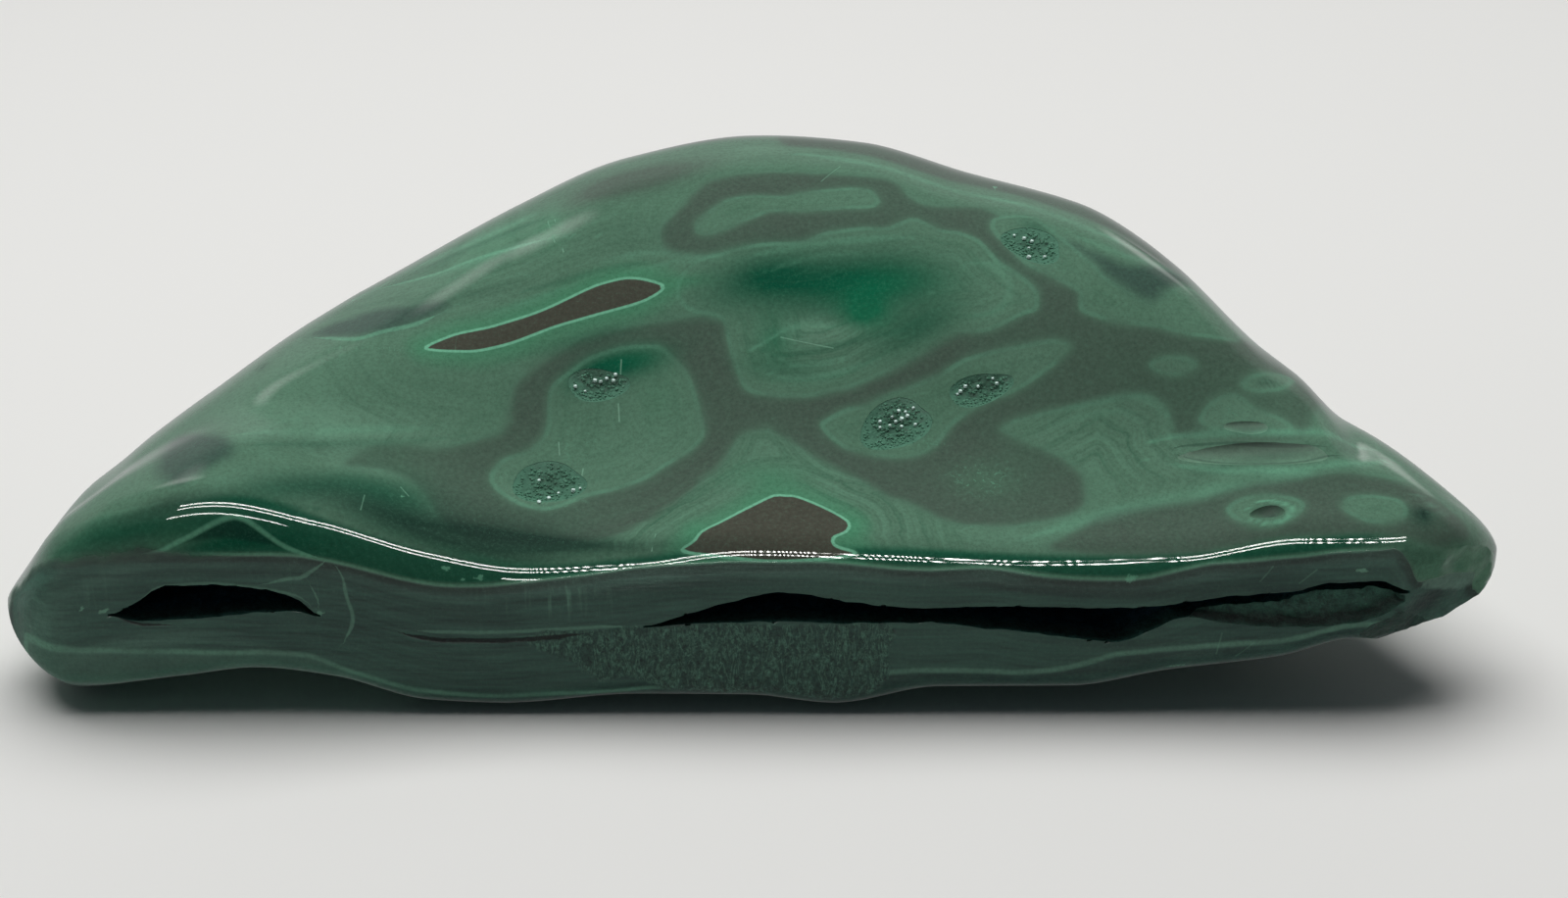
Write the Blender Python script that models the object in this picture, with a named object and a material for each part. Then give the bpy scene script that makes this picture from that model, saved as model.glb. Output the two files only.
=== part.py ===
"""Malachite freeform: a half-moon slab of banded malachite.

The top is a polished mound that rises from the front rim to a crest near the back. The front is one
flat sawn face with two natural slits, the right end is chipped, and the middle of the underside is
ground flat where the stone rests. Small open hollows in the top are lined with crystal crusts.

Frame: +X along the length, +Y from the sawn face to the back, +Z up, with the origin under the middle
of the stone. The sizes below are in millimetres and become metres when the meshes are made.
"""
import math

import bmesh
import bpy
from mathutils import Matrix, Vector
from mathutils.bvhtree import BVHTree

MM = 0.001

# Overall size
HALF_LENGTH = 79.9
FACE_Y = -39.0
LEFT_END_REACH = 8.0
RIGHT_END_REACH = 12.0

# Curves along the length, each point (x, value)
RIM_HEIGHT = (
    (-80.0, 13.5), (-74.0, 18.4), (-66.0, 23.6), (-55.0, 26.2), (-44.0, 23.8), (-33.0, 20.2),
    (-23.0, 18.4), (-12.0, 19.0), (0.0, 20.5), (12.0, 20.1), (30.0, 19.3), (45.0, 19.8),
    (57.0, 21.9), (66.0, 22.0), (74.0, 22.7), (80.0, 22.4),
)
FOOT_HEIGHT = (
    (-80.0, 4.0), (-70.0, 2.7), (-60.0, 3.8), (-52.0, 4.8), (-44.0, 3.8), (-34.0, 0.9),
    (-26.0, 0.5), (-12.0, 1.6), (0.0, 1.5), (9.0, 0.5), (20.0, 2.5), (34.0, 2.6),
    (44.0, 4.5), (56.0, 6.2), (63.5, 8.3), (80.0, 7.2),
)
CREST_Y = (
    (-80.0, -29.0), (-70.0, -25.0), (-60.0, -17.0), (-50.0, -6.0), (-35.0, 6.0), (-18.0, 14.0),
    (2.0, 18.0), (20.0, 13.0), (38.0, 4.0), (50.0, -6.0), (60.0, -16.0), (70.0, -25.0), (80.0, -30.0),
)
CREST_HEIGHT = (
    (-80.0, 13.6), (-76.5, 15.9), (-73.0, 18.3), (-69.5, 20.4), (-66.0, 22.8), (-55.0, 28.0), (-41.0, 32.5),
    (-28.0, 37.6), (-15.0, 42.1), (0.0, 44.0), (13.0, 43.8), (26.0, 41.3), (38.0, 40.1),
    (48.0, 36.1), (57.0, 29.7), (61.0, 27.7), (66.0, 23.9), (72.0, 23.0), (80.0, 22.6),
)
BACK_Y = (
    (-80.0, -22.0), (-70.0, -9.0), (-60.0, 4.0), (-50.0, 15.0), (-35.0, 27.5), (-18.0, 36.0),
    (2.0, 39.0), (20.0, 36.5), (38.0, 27.0), (50.0, 15.5), (60.0, 4.0), (70.0, -10.0), (80.0, -23.0),
)
BACK_HEIGHT = (
    (-80.0, 12.0), (-60.0, 13.0), (-35.0, 16.5), (0.0, 18.0), (35.0, 17.0), (60.0, 15.5), (80.0, 15.0),
)

# Front edges: radii, the slope in degrees where the rim meets the top, and how full a corner is
RIM_RADIUS = 4.6
RIM_SLOPE = 10.0
FOOT_RADIUS = 2.6
CORNER_PULL = 0.45

# Top and back: how far the curves run level at the crest and upright at the back edge
TOP_PULL = 0.42
CREST_PULL = 0.46
SHOULDER_PULL = 0.62

# Underside: how deep it sinks in the middle before it is ground flat, and how it rises at the back
GROUND_DEPTH = 2.6
GROUND_REACH = 0.87
TAIL_SHARE = 0.30
TAIL_START = 0.45
TAIL_RISE = 0.40

# Ends: the point that each one closes on (y, z), and how round the closing is
LEFT_TIP = (-29.0, 8.8)
RIGHT_TIP = (-29.0, 14.6)
END_START_POWER = 1.7
END_TIP_POWER = 0.62

# Soft swells and dents in the polished top: x, y, half width, half depth, height
SWELLS = (
    (-51.0, -21.5, 13.0, 5.0, -0.9),
    (53.0, -21.5, 12.0, 5.0, -1.3),
    (-17.0, -19.0, 10.0, 7.0, -0.5),
    (-2.0, -10.0, 7.0, 12.0, 0.4),
    (21.0, -19.0, 12.0, 6.0, -0.6),
    (-38.0, -12.0, 9.0, 6.0, 0.4),
    (38.0, -10.0, 9.0, 8.0, 0.5),
    (12.0, -7.0, 12.0, 6.0, -0.5),
    (-33.0, -31.0, 9.0, 4.0, 0.4),
)

# Natural slits in the sawn face, each point (x, lower lip, upper lip)
LONG_SLIT = (
    (-11.0, 10.6, 10.8), (-7.0, 11.0, 12.0), (-2.0, 11.2, 13.6), (3.5, 11.3, 14.8), (10.0, 11.1, 13.7),
    (18.0, 11.2, 12.9), (26.0, 10.4, 13.1), (33.0, 9.5, 13.0), (38.5, 8.9, 12.9), (42.0, 10.3, 13.1),
    (45.0, 11.7, 13.5), (50.0, 12.3, 14.3), (56.0, 13.0, 14.8), (61.0, 14.2, 15.9), (65.5, 14.6, 16.1),
    (68.8, 14.6, 14.9),
)
SHORT_SLIT = (
    (-66.8, 12.0, 12.2), (-63.5, 11.4, 13.6), (-60.5, 11.5, 15.6), (-56.0, 11.8, 15.6),
    (-51.0, 12.4, 15.2), (-47.2, 12.5, 14.2), (-44.6, 11.9, 12.1),
)
SLIT_MOUTH = 2.0
SLIT_WAIST = 0.55
SLIT_DEPTH = 11.0
SLIT_NARROWING = 0.45
SLIT_END_TAPER = 0.40
# Broken shelf under the right end of the long slit, each point (x, lower edge, upper edge)
BROKEN_SHELF = (
    (46.0, 11.8, 12.2), (49.5, 11.2, 13.0), (53.0, 10.8, 13.4), (58.0, 10.7, 14.2), (63.0, 11.1, 15.2),
    (66.5, 12.3, 15.0), (68.3, 13.6, 14.4),
)
SHELF_DEPTH = 1.5
SHELF_NARROWING = 0.8

# Chips broken off the ends: a point on each flat break, and the way it faces
CHIPS = (
    ((68.7, -39.0, 15.1), (0.55, -0.81, -0.19)),
    ((73.3, -34.8, 9.8), (0.42, -0.15, -0.90)),
    ((66.0, -39.0, 11.6), (0.30, -0.80, -0.51)),
    ((66.5, -38.0, 9.3), (0.30, -0.50, -0.81)),
    ((-76.7, -33.0, 4.2), (-0.72, -0.12, -0.68)),
)

# Hollows in the top: name, x, y, half length, half width, depth, turn in degrees
DRUSE_HOLLOWS = (
    ("druse_left_upper", -16.7, -15.1, 3.4, 2.0, 1.3, 8.0),
    ("druse_left_lower", -21.5, -25.8, 4.1, 2.7, 1.5, 12.0),
    ("druse_centre_left", 15.7, -20.3, 4.5, 2.7, 1.6, 38.0),
    ("druse_centre_right", 25.1, -16.6, 3.6, 1.8, 1.3, 28.0),
    ("druse_upper_right", 31.5, -1.8, 4.1, 2.4, 1.4, -42.0),
)
PLAIN_HOLLOWS = (
    ("flat_hollow", 54.3, -25.9, 9.6, 1.9, 0.9, -2.0),
    ("ring_hollow", 54.2, -34.1, 1.7, 1.1, 0.9, 0.0),
    ("oval_hollow", 53.4, -22.6, 2.3, 1.0, 0.7, 0.0),
)
HOLLOW_RISE = 0.5
HOLLOW_BANDS = 8
CRUST_GAP = 0.35
CRUST_BRIM = 0.3
CRUST_THICKNESS = 0.55
CRUST_THINNING = 0.60
CRYSTAL_HEIGHT = 0.45
CRYSTAL_VALLEY = 0.25
CRYSTAL_THINNING = 0.75
CRUST_RINGS = 4
CRUST_SPOKES = 14
POLISH_COLOUR = (0.05, 0.16, 0.10)
CRYSTAL_COLOUR = (0.07, 0.26, 0.17)
SHARP_ANGLE = 35.0

# Points round one section
FACE_STEPS = 4
RIM_STEPS = 5
TOP_STEPS = 18
SHOULDER_STEPS = 9
TAIL_STEPS = 5
BASE_STEPS = 10
FOOT_STEPS = 3
STATION_GAP = 3.2
END_STATIONS = 6


def along(curve, x, column=1):
    """Read a smooth curve through hand-set points at x, with no overshoot between them."""
    xs = [p[0] for p in curve]
    vs = [p[column] for p in curve]
    if x <= xs[0]:
        return vs[0]
    if x >= xs[-1]:
        return vs[-1]
    i = max(k for k in range(len(xs) - 1) if xs[k] <= x)

    def slope(k):
        if k == 0 or k == len(xs) - 1:
            return 0.0
        left = (vs[k] - vs[k - 1]) / (xs[k] - xs[k - 1])
        right = (vs[k + 1] - vs[k]) / (xs[k + 1] - xs[k])
        return 2.0 * left * right / (left + right) if left * right > 0.0 else 0.0

    span = xs[i + 1] - xs[i]
    t = (x - xs[i]) / span
    start = (2 * t ** 3 - 3 * t ** 2 + 1) * vs[i] + (t ** 3 - 2 * t ** 2 + t) * span * slope(i)
    end = (3 * t ** 2 - 2 * t ** 3) * vs[i + 1] + (t ** 3 - t ** 2) * span * slope(i + 1)
    return start + end


def bezier(p0, p1, p2, p3, steps):
    """Points along a cubic curve, without its last one."""
    points = []
    for i in range(steps):
        t = i / steps
        s = 1.0 - t
        weights = (s ** 3, 3 * s ** 2 * t, 3 * s * t ** 2, t ** 3)
        points.append(tuple(sum(w * p[k] for w, p in zip(weights, (p0, p1, p2, p3))) for k in (0, 1)))
    return points


def end_closing(x):
    """How much of the full section is left near an end, from 1 down to 0 at the tip."""
    reach = LEFT_END_REACH if x < 0 else RIGHT_END_REACH
    t = (abs(x) - (HALF_LENGTH - reach)) / reach
    if t <= 0.0:
        return 1.0
    return (1.0 - min(t, 1.0) ** END_START_POWER) ** END_TIP_POWER


def swell(x, y):
    """Height that the soft swells and dents add to the top at (x, y)."""
    total = 0.0
    for cx, cy, wide, deep, height in SWELLS:
        total += height * math.exp(-((x - cx) / wide) ** 2 - ((y - cy) / deep) ** 2)
    return total


def underside(y, foot, back_y, back_z):
    """Height of the underside: arched at the foot and the ends, ground flat where it would reach lower."""
    t = (y - FACE_Y) / (back_y - FACE_Y)
    dip = GROUND_DEPTH * math.sin(math.pi * min(1.0, t / GROUND_REACH))
    rise = TAIL_RISE * (back_z - foot) * max(0.0, (t - TAIL_START) / (1.0 - TAIL_START)) ** 2
    return max(0.0, foot - dip + rise)


def section(x):
    """One closed section across the stone at x: face, rim, top, shoulder, tail, base and foot."""
    rim, foot = along(RIM_HEIGHT, x), along(FOOT_HEIGHT, x)
    crest = (along(CREST_Y, x), along(CREST_HEIGHT, x))
    back = (along(BACK_Y, x), along(BACK_HEIGHT, x))
    tail_y = back[0] - TAIL_SHARE * (back[0] - FACE_Y)
    tail = (tail_y, underside(tail_y, foot, *back))
    face_low, face_high = (FACE_Y, foot + FOOT_RADIUS), (FACE_Y, rim - RIM_RADIUS)
    top_start = (FACE_Y + RIM_RADIUS, rim)
    foot_start = (FACE_Y + FOOT_RADIUS, foot)
    slope = math.tan(math.radians(RIM_SLOPE))
    run = crest[0] - top_start[0]

    ring = bezier(face_low, face_low, face_high, face_high, FACE_STEPS)
    ring += bezier(face_high, (FACE_Y, rim - RIM_RADIUS * CORNER_PULL),
                   (FACE_Y + RIM_RADIUS * CORNER_PULL, rim - RIM_RADIUS * CORNER_PULL * slope),
                   top_start, RIM_STEPS)
    top = bezier(top_start, (top_start[0] + run * TOP_PULL, rim + run * TOP_PULL * slope),
                 (crest[0] - run * CREST_PULL, crest[1]), crest, TOP_STEPS)
    ring += [(y, z + swell(x, y)) for y, z in top]
    ring += bezier(crest, (crest[0] + SHOULDER_PULL * (back[0] - crest[0]), crest[1]),
                   (back[0], back[1] + SHOULDER_PULL * (crest[1] - back[1])), back, SHOULDER_STEPS)
    ring += bezier(back, (back[0], 0.5 * (back[1] + tail[1])),
                   (0.5 * (back[0] + tail[0]), tail[1] + TAIL_SHARE * 0.5 * (back[1] - tail[1])),
                   tail, TAIL_STEPS)
    for i in range(BASE_STEPS):
        y = tail_y + (foot_start[0] - tail_y) * i / BASE_STEPS
        ring.append((y, underside(y, foot, *back)))
    ring += bezier(foot_start, (FACE_Y + FOOT_RADIUS * CORNER_PULL, foot),
                   (FACE_Y, foot + FOOT_RADIUS * CORNER_PULL), face_low, FOOT_STEPS)

    tip = LEFT_TIP if x < 0 else RIGHT_TIP
    k = end_closing(x)
    return [(tip[0] + (y - tip[0]) * k, tip[1] + (z - tip[1]) * k) for y, z in ring]


def stations():
    """Places of the sections along the length: even in the middle, closer at the rounded ends."""
    left, right = LEFT_END_REACH - HALF_LENGTH, HALF_LENGTH - RIGHT_END_REACH
    count = round((right - left) / STATION_GAP)
    middle = [left + (right - left) * i / count for i in range(count + 1)]
    shares = [math.sin(0.5 * math.pi * i / END_STATIONS) for i in range(1, END_STATIONS)]
    left_end = [left - LEFT_END_REACH * share for share in reversed(shares)]
    right_end = [right + RIGHT_END_REACH * share for share in shares]
    return left_end + middle + right_end


def loft_stone():
    """The whole stone before anything is cut: sections joined along X, with a point at each tip."""
    mesh = bmesh.new()
    rings = []
    for x in stations():
        rings.append([mesh.verts.new((x * MM, y * MM, z * MM)) for y, z in section(x)])
    for first, second in zip(rings, rings[1:]):
        for i in range(len(first)):
            j = (i + 1) % len(first)
            mesh.faces.new((first[i], first[j], second[j], second[i]))
    for ring, tip, side in ((rings[0], LEFT_TIP, -1.0), (rings[-1], RIGHT_TIP, 1.0)):
        pole = mesh.verts.new((side * HALF_LENGTH * MM, tip[0] * MM, tip[1] * MM))
        for i in range(len(ring)):
            mesh.faces.new((ring[i], ring[(i + 1) % len(ring)], pole))
    bmesh.ops.recalc_face_normals(mesh, faces=mesh.faces)
    return mesh


def break_chips(mesh):
    """Cut the flat breaks off the ends and close each cut."""
    for point, facing in CHIPS:
        geometry = mesh.verts[:] + mesh.edges[:] + mesh.faces[:]
        cut = bmesh.ops.bisect_plane(mesh, geom=geometry, plane_co=Vector(point) * MM,
                                     plane_no=Vector(facing), clear_outer=True)
        rim = [e for e in cut["geom_cut"] if isinstance(e, bmesh.types.BMEdge)]
        bmesh.ops.holes_fill(mesh, edges=rim, sides=0)
    bmesh.ops.triangulate(mesh, faces=mesh.faces)


def slit_cutter(name, outline, depth, narrowing):
    """A solid that cuts a slit into the sawn face and narrows towards its inner end."""
    mesh = bmesh.new()
    lower = [(x, low) for x, low, high in outline]
    upper = [(x, high) for x, low, high in reversed(outline)]
    middle = 0.5 * (outline[0][0] + outline[-1][0])
    loops = []
    for y, share in ((FACE_Y - SLIT_MOUTH, 1.0), (FACE_Y, 1.0),
                     (FACE_Y + depth * SLIT_WAIST, 0.5 * (1.0 + narrowing)), (FACE_Y + depth, narrowing)):
        loop = []
        for x, z in lower + upper:
            level = 0.5 * (along(outline, x, 1) + along(outline, x, 2))
            shift = (x - middle) * (1.0 - SLIT_END_TAPER * (1.0 - share))
            place = (middle + shift, y, level + (z - level) * share)
            loop.append(mesh.verts.new(Vector(place) * MM))
        loops.append(loop)
    for first, second in zip(loops, loops[1:]):
        for i in range(len(first)):
            j = (i + 1) % len(first)
            mesh.faces.new((first[i], first[j], second[j], second[i]))
    mesh.faces.new(loops[0])
    mesh.faces.new(loops[-1])
    bmesh.ops.recalc_face_normals(mesh, faces=mesh.faces)
    return add_cutter(name, mesh)


def surface_frame(tree, x, y, turn):
    """Where a vertical line at (x, y) meets the top, as a matrix: long side, short side, outward."""
    above = Vector((x, y, 2.0 * HALF_LENGTH)) * MM
    place, outward, _, _ = tree.ray_cast(above, Vector((0.0, 0.0, -1.0)))
    angle = math.radians(turn)
    side = Vector((math.cos(angle), math.sin(angle), 0.0))
    side = (side - outward * side.dot(outward)).normalized()
    across = outward.cross(side)
    frame = Matrix((side, across, outward)).transposed().to_4x4()
    frame.translation = place
    return frame


def outline_wave(angle, size):
    """How far an uneven hollow's outline swings in or out of an ellipse at this angle."""
    return 1.0 + 0.10 * math.sin(2.0 * angle + size) + 0.07 * math.sin(3.0 * angle + 2.3 * size)


def hollow_radii(long_half, short_half, depth):
    """Centre height and half sizes of the ellipsoid whose lower part makes a hollow."""
    rise = HOLLOW_RISE * depth
    high = depth + rise
    spread = 1.0 / math.sqrt(1.0 - (rise / high) ** 2)
    return rise, (long_half * spread, short_half * spread, high)


def hollow_cutter(name, frame, long_half, short_half, depth):
    """An ellipsoid laid over the top so that it scoops out one hollow."""
    rise, radii = hollow_radii(long_half, short_half, depth)
    mesh = bmesh.new()
    bmesh.ops.create_uvsphere(mesh, u_segments=CRUST_SPOKES, v_segments=HOLLOW_BANDS, radius=1.0)
    for vert in mesh.verts:
        uneven = outline_wave(math.atan2(vert.co.y, vert.co.x), long_half)
        vert.co = (vert.co.x * radii[0] * uneven, vert.co.y * radii[1] * uneven, vert.co.z * radii[2] + rise)
        vert.co *= MM
    bmesh.ops.transform(mesh, matrix=frame, verts=mesh.verts)
    return add_cutter(name, mesh)


def crust(name, frame, long_half, short_half, depth, finish):
    """The crystals that line one hollow, grown together: a thin cup with pointed crystals on it."""
    rise, radii = hollow_radii(long_half, short_half, depth)
    a, b, c = (r - CRUST_GAP for r in radii)
    brim = math.sqrt(1.0 - ((rise + CRUST_BRIM) / c) ** 2)
    mesh = bmesh.new()

    def level(share, spoke, top):
        angle = 2.0 * math.pi * spoke / CRUST_SPOKES
        bed = rise - c * math.sqrt(1.0 - (share * brim) ** 2)
        if top:
            point = 1.0 if (spoke + round(share * CRUST_RINGS)) % 2 else CRYSTAL_VALLEY
            bed += CRUST_THICKNESS * (1.0 - CRUST_THINNING * share)
            bed += CRYSTAL_HEIGHT * point * (1.0 - CRYSTAL_THINNING * share)
        reach = brim * share * outline_wave(angle, long_half)
        place = (a * reach * math.cos(angle), b * reach * math.sin(angle), bed)
        return mesh.verts.new(Vector(place) * MM)

    sides = []
    for top in (False, True):
        middle = level(0.0, 0, top)
        rings = [[level(r / CRUST_RINGS, s, top) for s in range(CRUST_SPOKES)]
                 for r in range(1, CRUST_RINGS + 1)]
        for s in range(CRUST_SPOKES):
            n = (s + 1) % CRUST_SPOKES
            mesh.faces.new((middle, rings[0][s], rings[0][n]))
            for inner, outer in zip(rings, rings[1:]):
                mesh.faces.new((inner[s], outer[s], outer[n], inner[n]))
        sides.append(rings[-1])
    for s in range(CRUST_SPOKES):
        n = (s + 1) % CRUST_SPOKES
        mesh.faces.new((sides[0][s], sides[0][n], sides[1][n], sides[1][s]))
    bmesh.ops.transform(mesh, matrix=frame, verts=mesh.verts)
    bmesh.ops.recalc_face_normals(mesh, faces=mesh.faces)
    bmesh.ops.triangulate(mesh, faces=mesh.faces)
    return add_object(name, mesh, finish)


def material(name, colour, roughness):
    """A plain finish for one piece."""
    made = bpy.data.materials.new(name)
    made.use_nodes = True
    shader = made.node_tree.nodes["Principled BSDF"]
    shader.inputs["Base Color"].default_value = (*colour, 1.0)
    shader.inputs["Roughness"].default_value = roughness
    shader.inputs["Metallic"].default_value = 0.0
    return made


def add_object(name, mesh, finish=None):
    """Turn a finished bmesh into a named object."""
    data = bpy.data.meshes.new(name)
    mesh.to_mesh(data)
    mesh.free()
    if finish:
        data.materials.append(finish)
    made = bpy.data.objects.new(name, data)
    bpy.context.collection.objects.link(made)
    return made


def add_cutter(name, mesh):
    """An object that only cuts: shown as wires and never rendered."""
    made = add_object(name, mesh)
    made.hide_render = True
    made.display_type = "WIRE"
    return made


def cut(target, cutter):
    """Take the cutter's space out of the target."""
    boolean = target.modifiers.new(cutter.name, "BOOLEAN")
    boolean.operation = "DIFFERENCE"
    boolean.solver = "EXACT"
    boolean.object = cutter


def main():
    for old in list(bpy.data.objects):
        bpy.data.objects.remove(old)
    polished = material("polished_malachite", POLISH_COLOUR, 0.15)
    crystal = material("green_crystals", CRYSTAL_COLOUR, 0.35)

    body = loft_stone()
    break_chips(body)
    tree = BVHTree.FromBMesh(body)
    stone = add_object("malachite_stone", body, polished)

    cut(stone, slit_cutter("long_slit", LONG_SLIT, SLIT_DEPTH, SLIT_NARROWING))
    cut(stone, slit_cutter("short_slit", SHORT_SLIT, SLIT_DEPTH, SLIT_NARROWING))
    cut(stone, slit_cutter("broken_shelf", BROKEN_SHELF, SHELF_DEPTH, SHELF_NARROWING))
    for name, x, y, long_half, short_half, depth, turn in DRUSE_HOLLOWS:
        frame = surface_frame(tree, x, y, turn)
        cut(stone, hollow_cutter(name + "_hollow", frame, long_half, short_half, depth))
        crust(name, frame, long_half, short_half, depth, crystal)
    for name, x, y, long_half, short_half, depth, turn in PLAIN_HOLLOWS:
        cut(stone, hollow_cutter(name, surface_frame(tree, x, y, turn), long_half, short_half, depth))

    stone.data.shade_smooth()
    stone.data.set_sharp_from_angle(angle=math.radians(SHARP_ANGLE))


main()
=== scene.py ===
"""Looks of the malachite freeform: banded polish on top, a dull sawn face with two slits, and crystals.

Sizes in this file are in millimetres, and MM turns them into metres. Picture points are in the 1600 x 916
pixels of the photograph, read one by one. Each of them is laid on the stone's own skin before it is used.
"""

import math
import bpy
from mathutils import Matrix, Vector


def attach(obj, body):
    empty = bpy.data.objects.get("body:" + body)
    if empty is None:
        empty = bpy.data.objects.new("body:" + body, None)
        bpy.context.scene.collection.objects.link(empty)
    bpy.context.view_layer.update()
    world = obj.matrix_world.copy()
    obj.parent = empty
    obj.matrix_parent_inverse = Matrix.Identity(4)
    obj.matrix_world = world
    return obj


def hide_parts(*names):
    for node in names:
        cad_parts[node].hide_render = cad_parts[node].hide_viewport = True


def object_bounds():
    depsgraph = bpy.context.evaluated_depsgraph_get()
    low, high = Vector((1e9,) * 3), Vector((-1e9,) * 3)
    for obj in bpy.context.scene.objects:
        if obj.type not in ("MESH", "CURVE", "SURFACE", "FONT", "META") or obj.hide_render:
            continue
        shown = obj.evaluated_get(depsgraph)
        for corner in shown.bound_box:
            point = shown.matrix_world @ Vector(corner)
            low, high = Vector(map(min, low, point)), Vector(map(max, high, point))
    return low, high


bl_info = {
    "name": "Malachite Freeform",
    "version": (1, 0, 0),
    "blender": (4, 5, 0),
    "location": "View3D > Sidebar > Malachite",
    "description": "Builds a polished malachite freeform, its crystal-lined hollows and a plain stage",
    "category": "Add Mesh",
}

import bmesh
import bpy
import numpy as np
from bpy.props import FloatProperty, FloatVectorProperty, IntProperty, PointerProperty
from mathutils import Matrix, Vector, noise
from mathutils.bvhtree import BVHTree
from mathutils.interpolate import poly_3d_calc

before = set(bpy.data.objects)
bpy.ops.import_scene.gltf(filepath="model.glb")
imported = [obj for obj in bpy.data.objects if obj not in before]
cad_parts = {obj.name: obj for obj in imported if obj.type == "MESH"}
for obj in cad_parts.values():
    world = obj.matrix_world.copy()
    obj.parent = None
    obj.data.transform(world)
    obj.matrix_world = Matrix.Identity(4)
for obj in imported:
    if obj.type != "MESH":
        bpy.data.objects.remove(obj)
CAD_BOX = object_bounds()
MM = 0.001

# Camera: where it looks, how far it stands, how high, and its lens
PICTURE_WIDTH = 1600
PICTURE_HEIGHT = 916
SENSOR_WIDTH = 36.0
CAMERA_LENS = 65.0
CAMERA_TARGET = Vector((3.7, 0.0, 13.0))
CAMERA_DISTANCE = 330.0
CAMERA_ELEVATION = 25.0
CAMERA_NEAR = 10.0
CAMERA_FAR = 20000.0

# Overall size and the ends, as in the solid
HALF_LENGTH = 79.9
FACE_Y = -39.0
LEFT_END_REACH = 8.0
RIGHT_END_REACH = 12.0
LEFT_TIP = (-29.0, 8.8)
RIGHT_TIP = (-29.0, 14.6)
END_START_POWER = 1.7
END_TIP_POWER = 0.62

# Curves along the length, as in the solid, each point (x, value)
RIM_HEIGHT = (
    (-80.0, 13.5), (-74.0, 18.4), (-66.0, 23.6), (-55.0, 26.2), (-44.0, 23.8), (-33.0, 20.2),
    (-23.0, 18.4), (-12.0, 19.0), (0.0, 20.5), (12.0, 20.1), (30.0, 19.3), (45.0, 19.8),
    (57.0, 21.9), (66.0, 22.0), (74.0, 22.7), (80.0, 22.4),
)
FOOT_HEIGHT = (
    (-80.0, 4.0), (-70.0, 2.7), (-60.0, 3.8), (-52.0, 4.8), (-44.0, 3.8), (-34.0, 0.9),
    (-26.0, 0.5), (-12.0, 1.6), (0.0, 1.5), (9.0, 0.5), (20.0, 2.5), (34.0, 2.6),
    (44.0, 4.5), (56.0, 6.2), (63.5, 8.3), (80.0, 7.2),
)
CREST_Y = (
    (-80.0, -29.0), (-70.0, -25.0), (-60.0, -17.0), (-50.0, -6.0), (-35.0, 6.0), (-18.0, 14.0),
    (2.0, 18.0), (20.0, 13.0), (38.0, 4.0), (50.0, -6.0), (60.0, -16.0), (70.0, -25.0), (80.0, -30.0),
)
CREST_HEIGHT = (
    (-80.0, 13.6), (-76.5, 15.9), (-73.0, 18.3), (-69.5, 20.4), (-66.0, 22.8), (-55.0, 28.0), (-41.0, 32.5),
    (-28.0, 37.6), (-15.0, 42.1), (0.0, 44.0), (13.0, 43.8), (26.0, 41.3), (38.0, 40.1),
    (48.0, 36.1), (57.0, 29.7), (61.0, 27.7), (66.0, 23.9), (72.0, 23.0), (80.0, 22.6),
)
BACK_Y = (
    (-80.0, -22.0), (-70.0, -9.0), (-60.0, 4.0), (-50.0, 15.0), (-35.0, 27.5), (-18.0, 36.0),
    (2.0, 39.0), (20.0, 36.5), (38.0, 27.0), (50.0, 15.5), (60.0, 4.0), (70.0, -10.0), (80.0, -23.0),
)
BACK_HEIGHT = (
    (-80.0, 12.0), (-60.0, 13.0), (-35.0, 16.5), (0.0, 18.0), (35.0, 17.0), (60.0, 15.5), (80.0, 15.0),
)
RIM_RADIUS = 4.6
RIM_SLOPE = 10.0
FOOT_RADIUS = 2.6
CORNER_PULL = 0.45
TOP_PULL = 0.42
CREST_PULL = 0.46
SHOULDER_PULL = 0.62
GROUND_DEPTH = 2.6
GROUND_REACH = 0.87
TAIL_SHARE = 0.30
TAIL_START = 0.45
TAIL_RISE = 0.40

# Soft swells and dents in the polished top, as in the solid: x, y, half width, half depth, height
SWELLS = (
    (-51.0, -21.5, 13.0, 5.0, -0.9), (53.0, -21.5, 12.0, 5.0, -1.3), (-17.0, -19.0, 10.0, 7.0, -0.5),
    (-2.0, -10.0, 7.0, 12.0, 0.4), (21.0, -19.0, 12.0, 6.0, -0.6), (-38.0, -12.0, 9.0, 6.0, 0.4),
    (38.0, -10.0, 9.0, 8.0, 0.5), (12.0, -7.0, 12.0, 6.0, -0.5), (-33.0, -31.0, 9.0, 4.0, 0.4),
)

# Points round one section of the smooth skin, and the gap between sections
FACE_STEPS = 34
RIM_STEPS = 16
TOP_STEPS = 112
SHOULDER_STEPS = 34
TAIL_STEPS = 8
BASE_STEPS = 18
FOOT_STEPS = 8
STATION_GAP = 0.62
END_STATIONS = 16
CREST_EASING = 90
EASING_START = 46.0
EASING_RUN = 14.0

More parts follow.
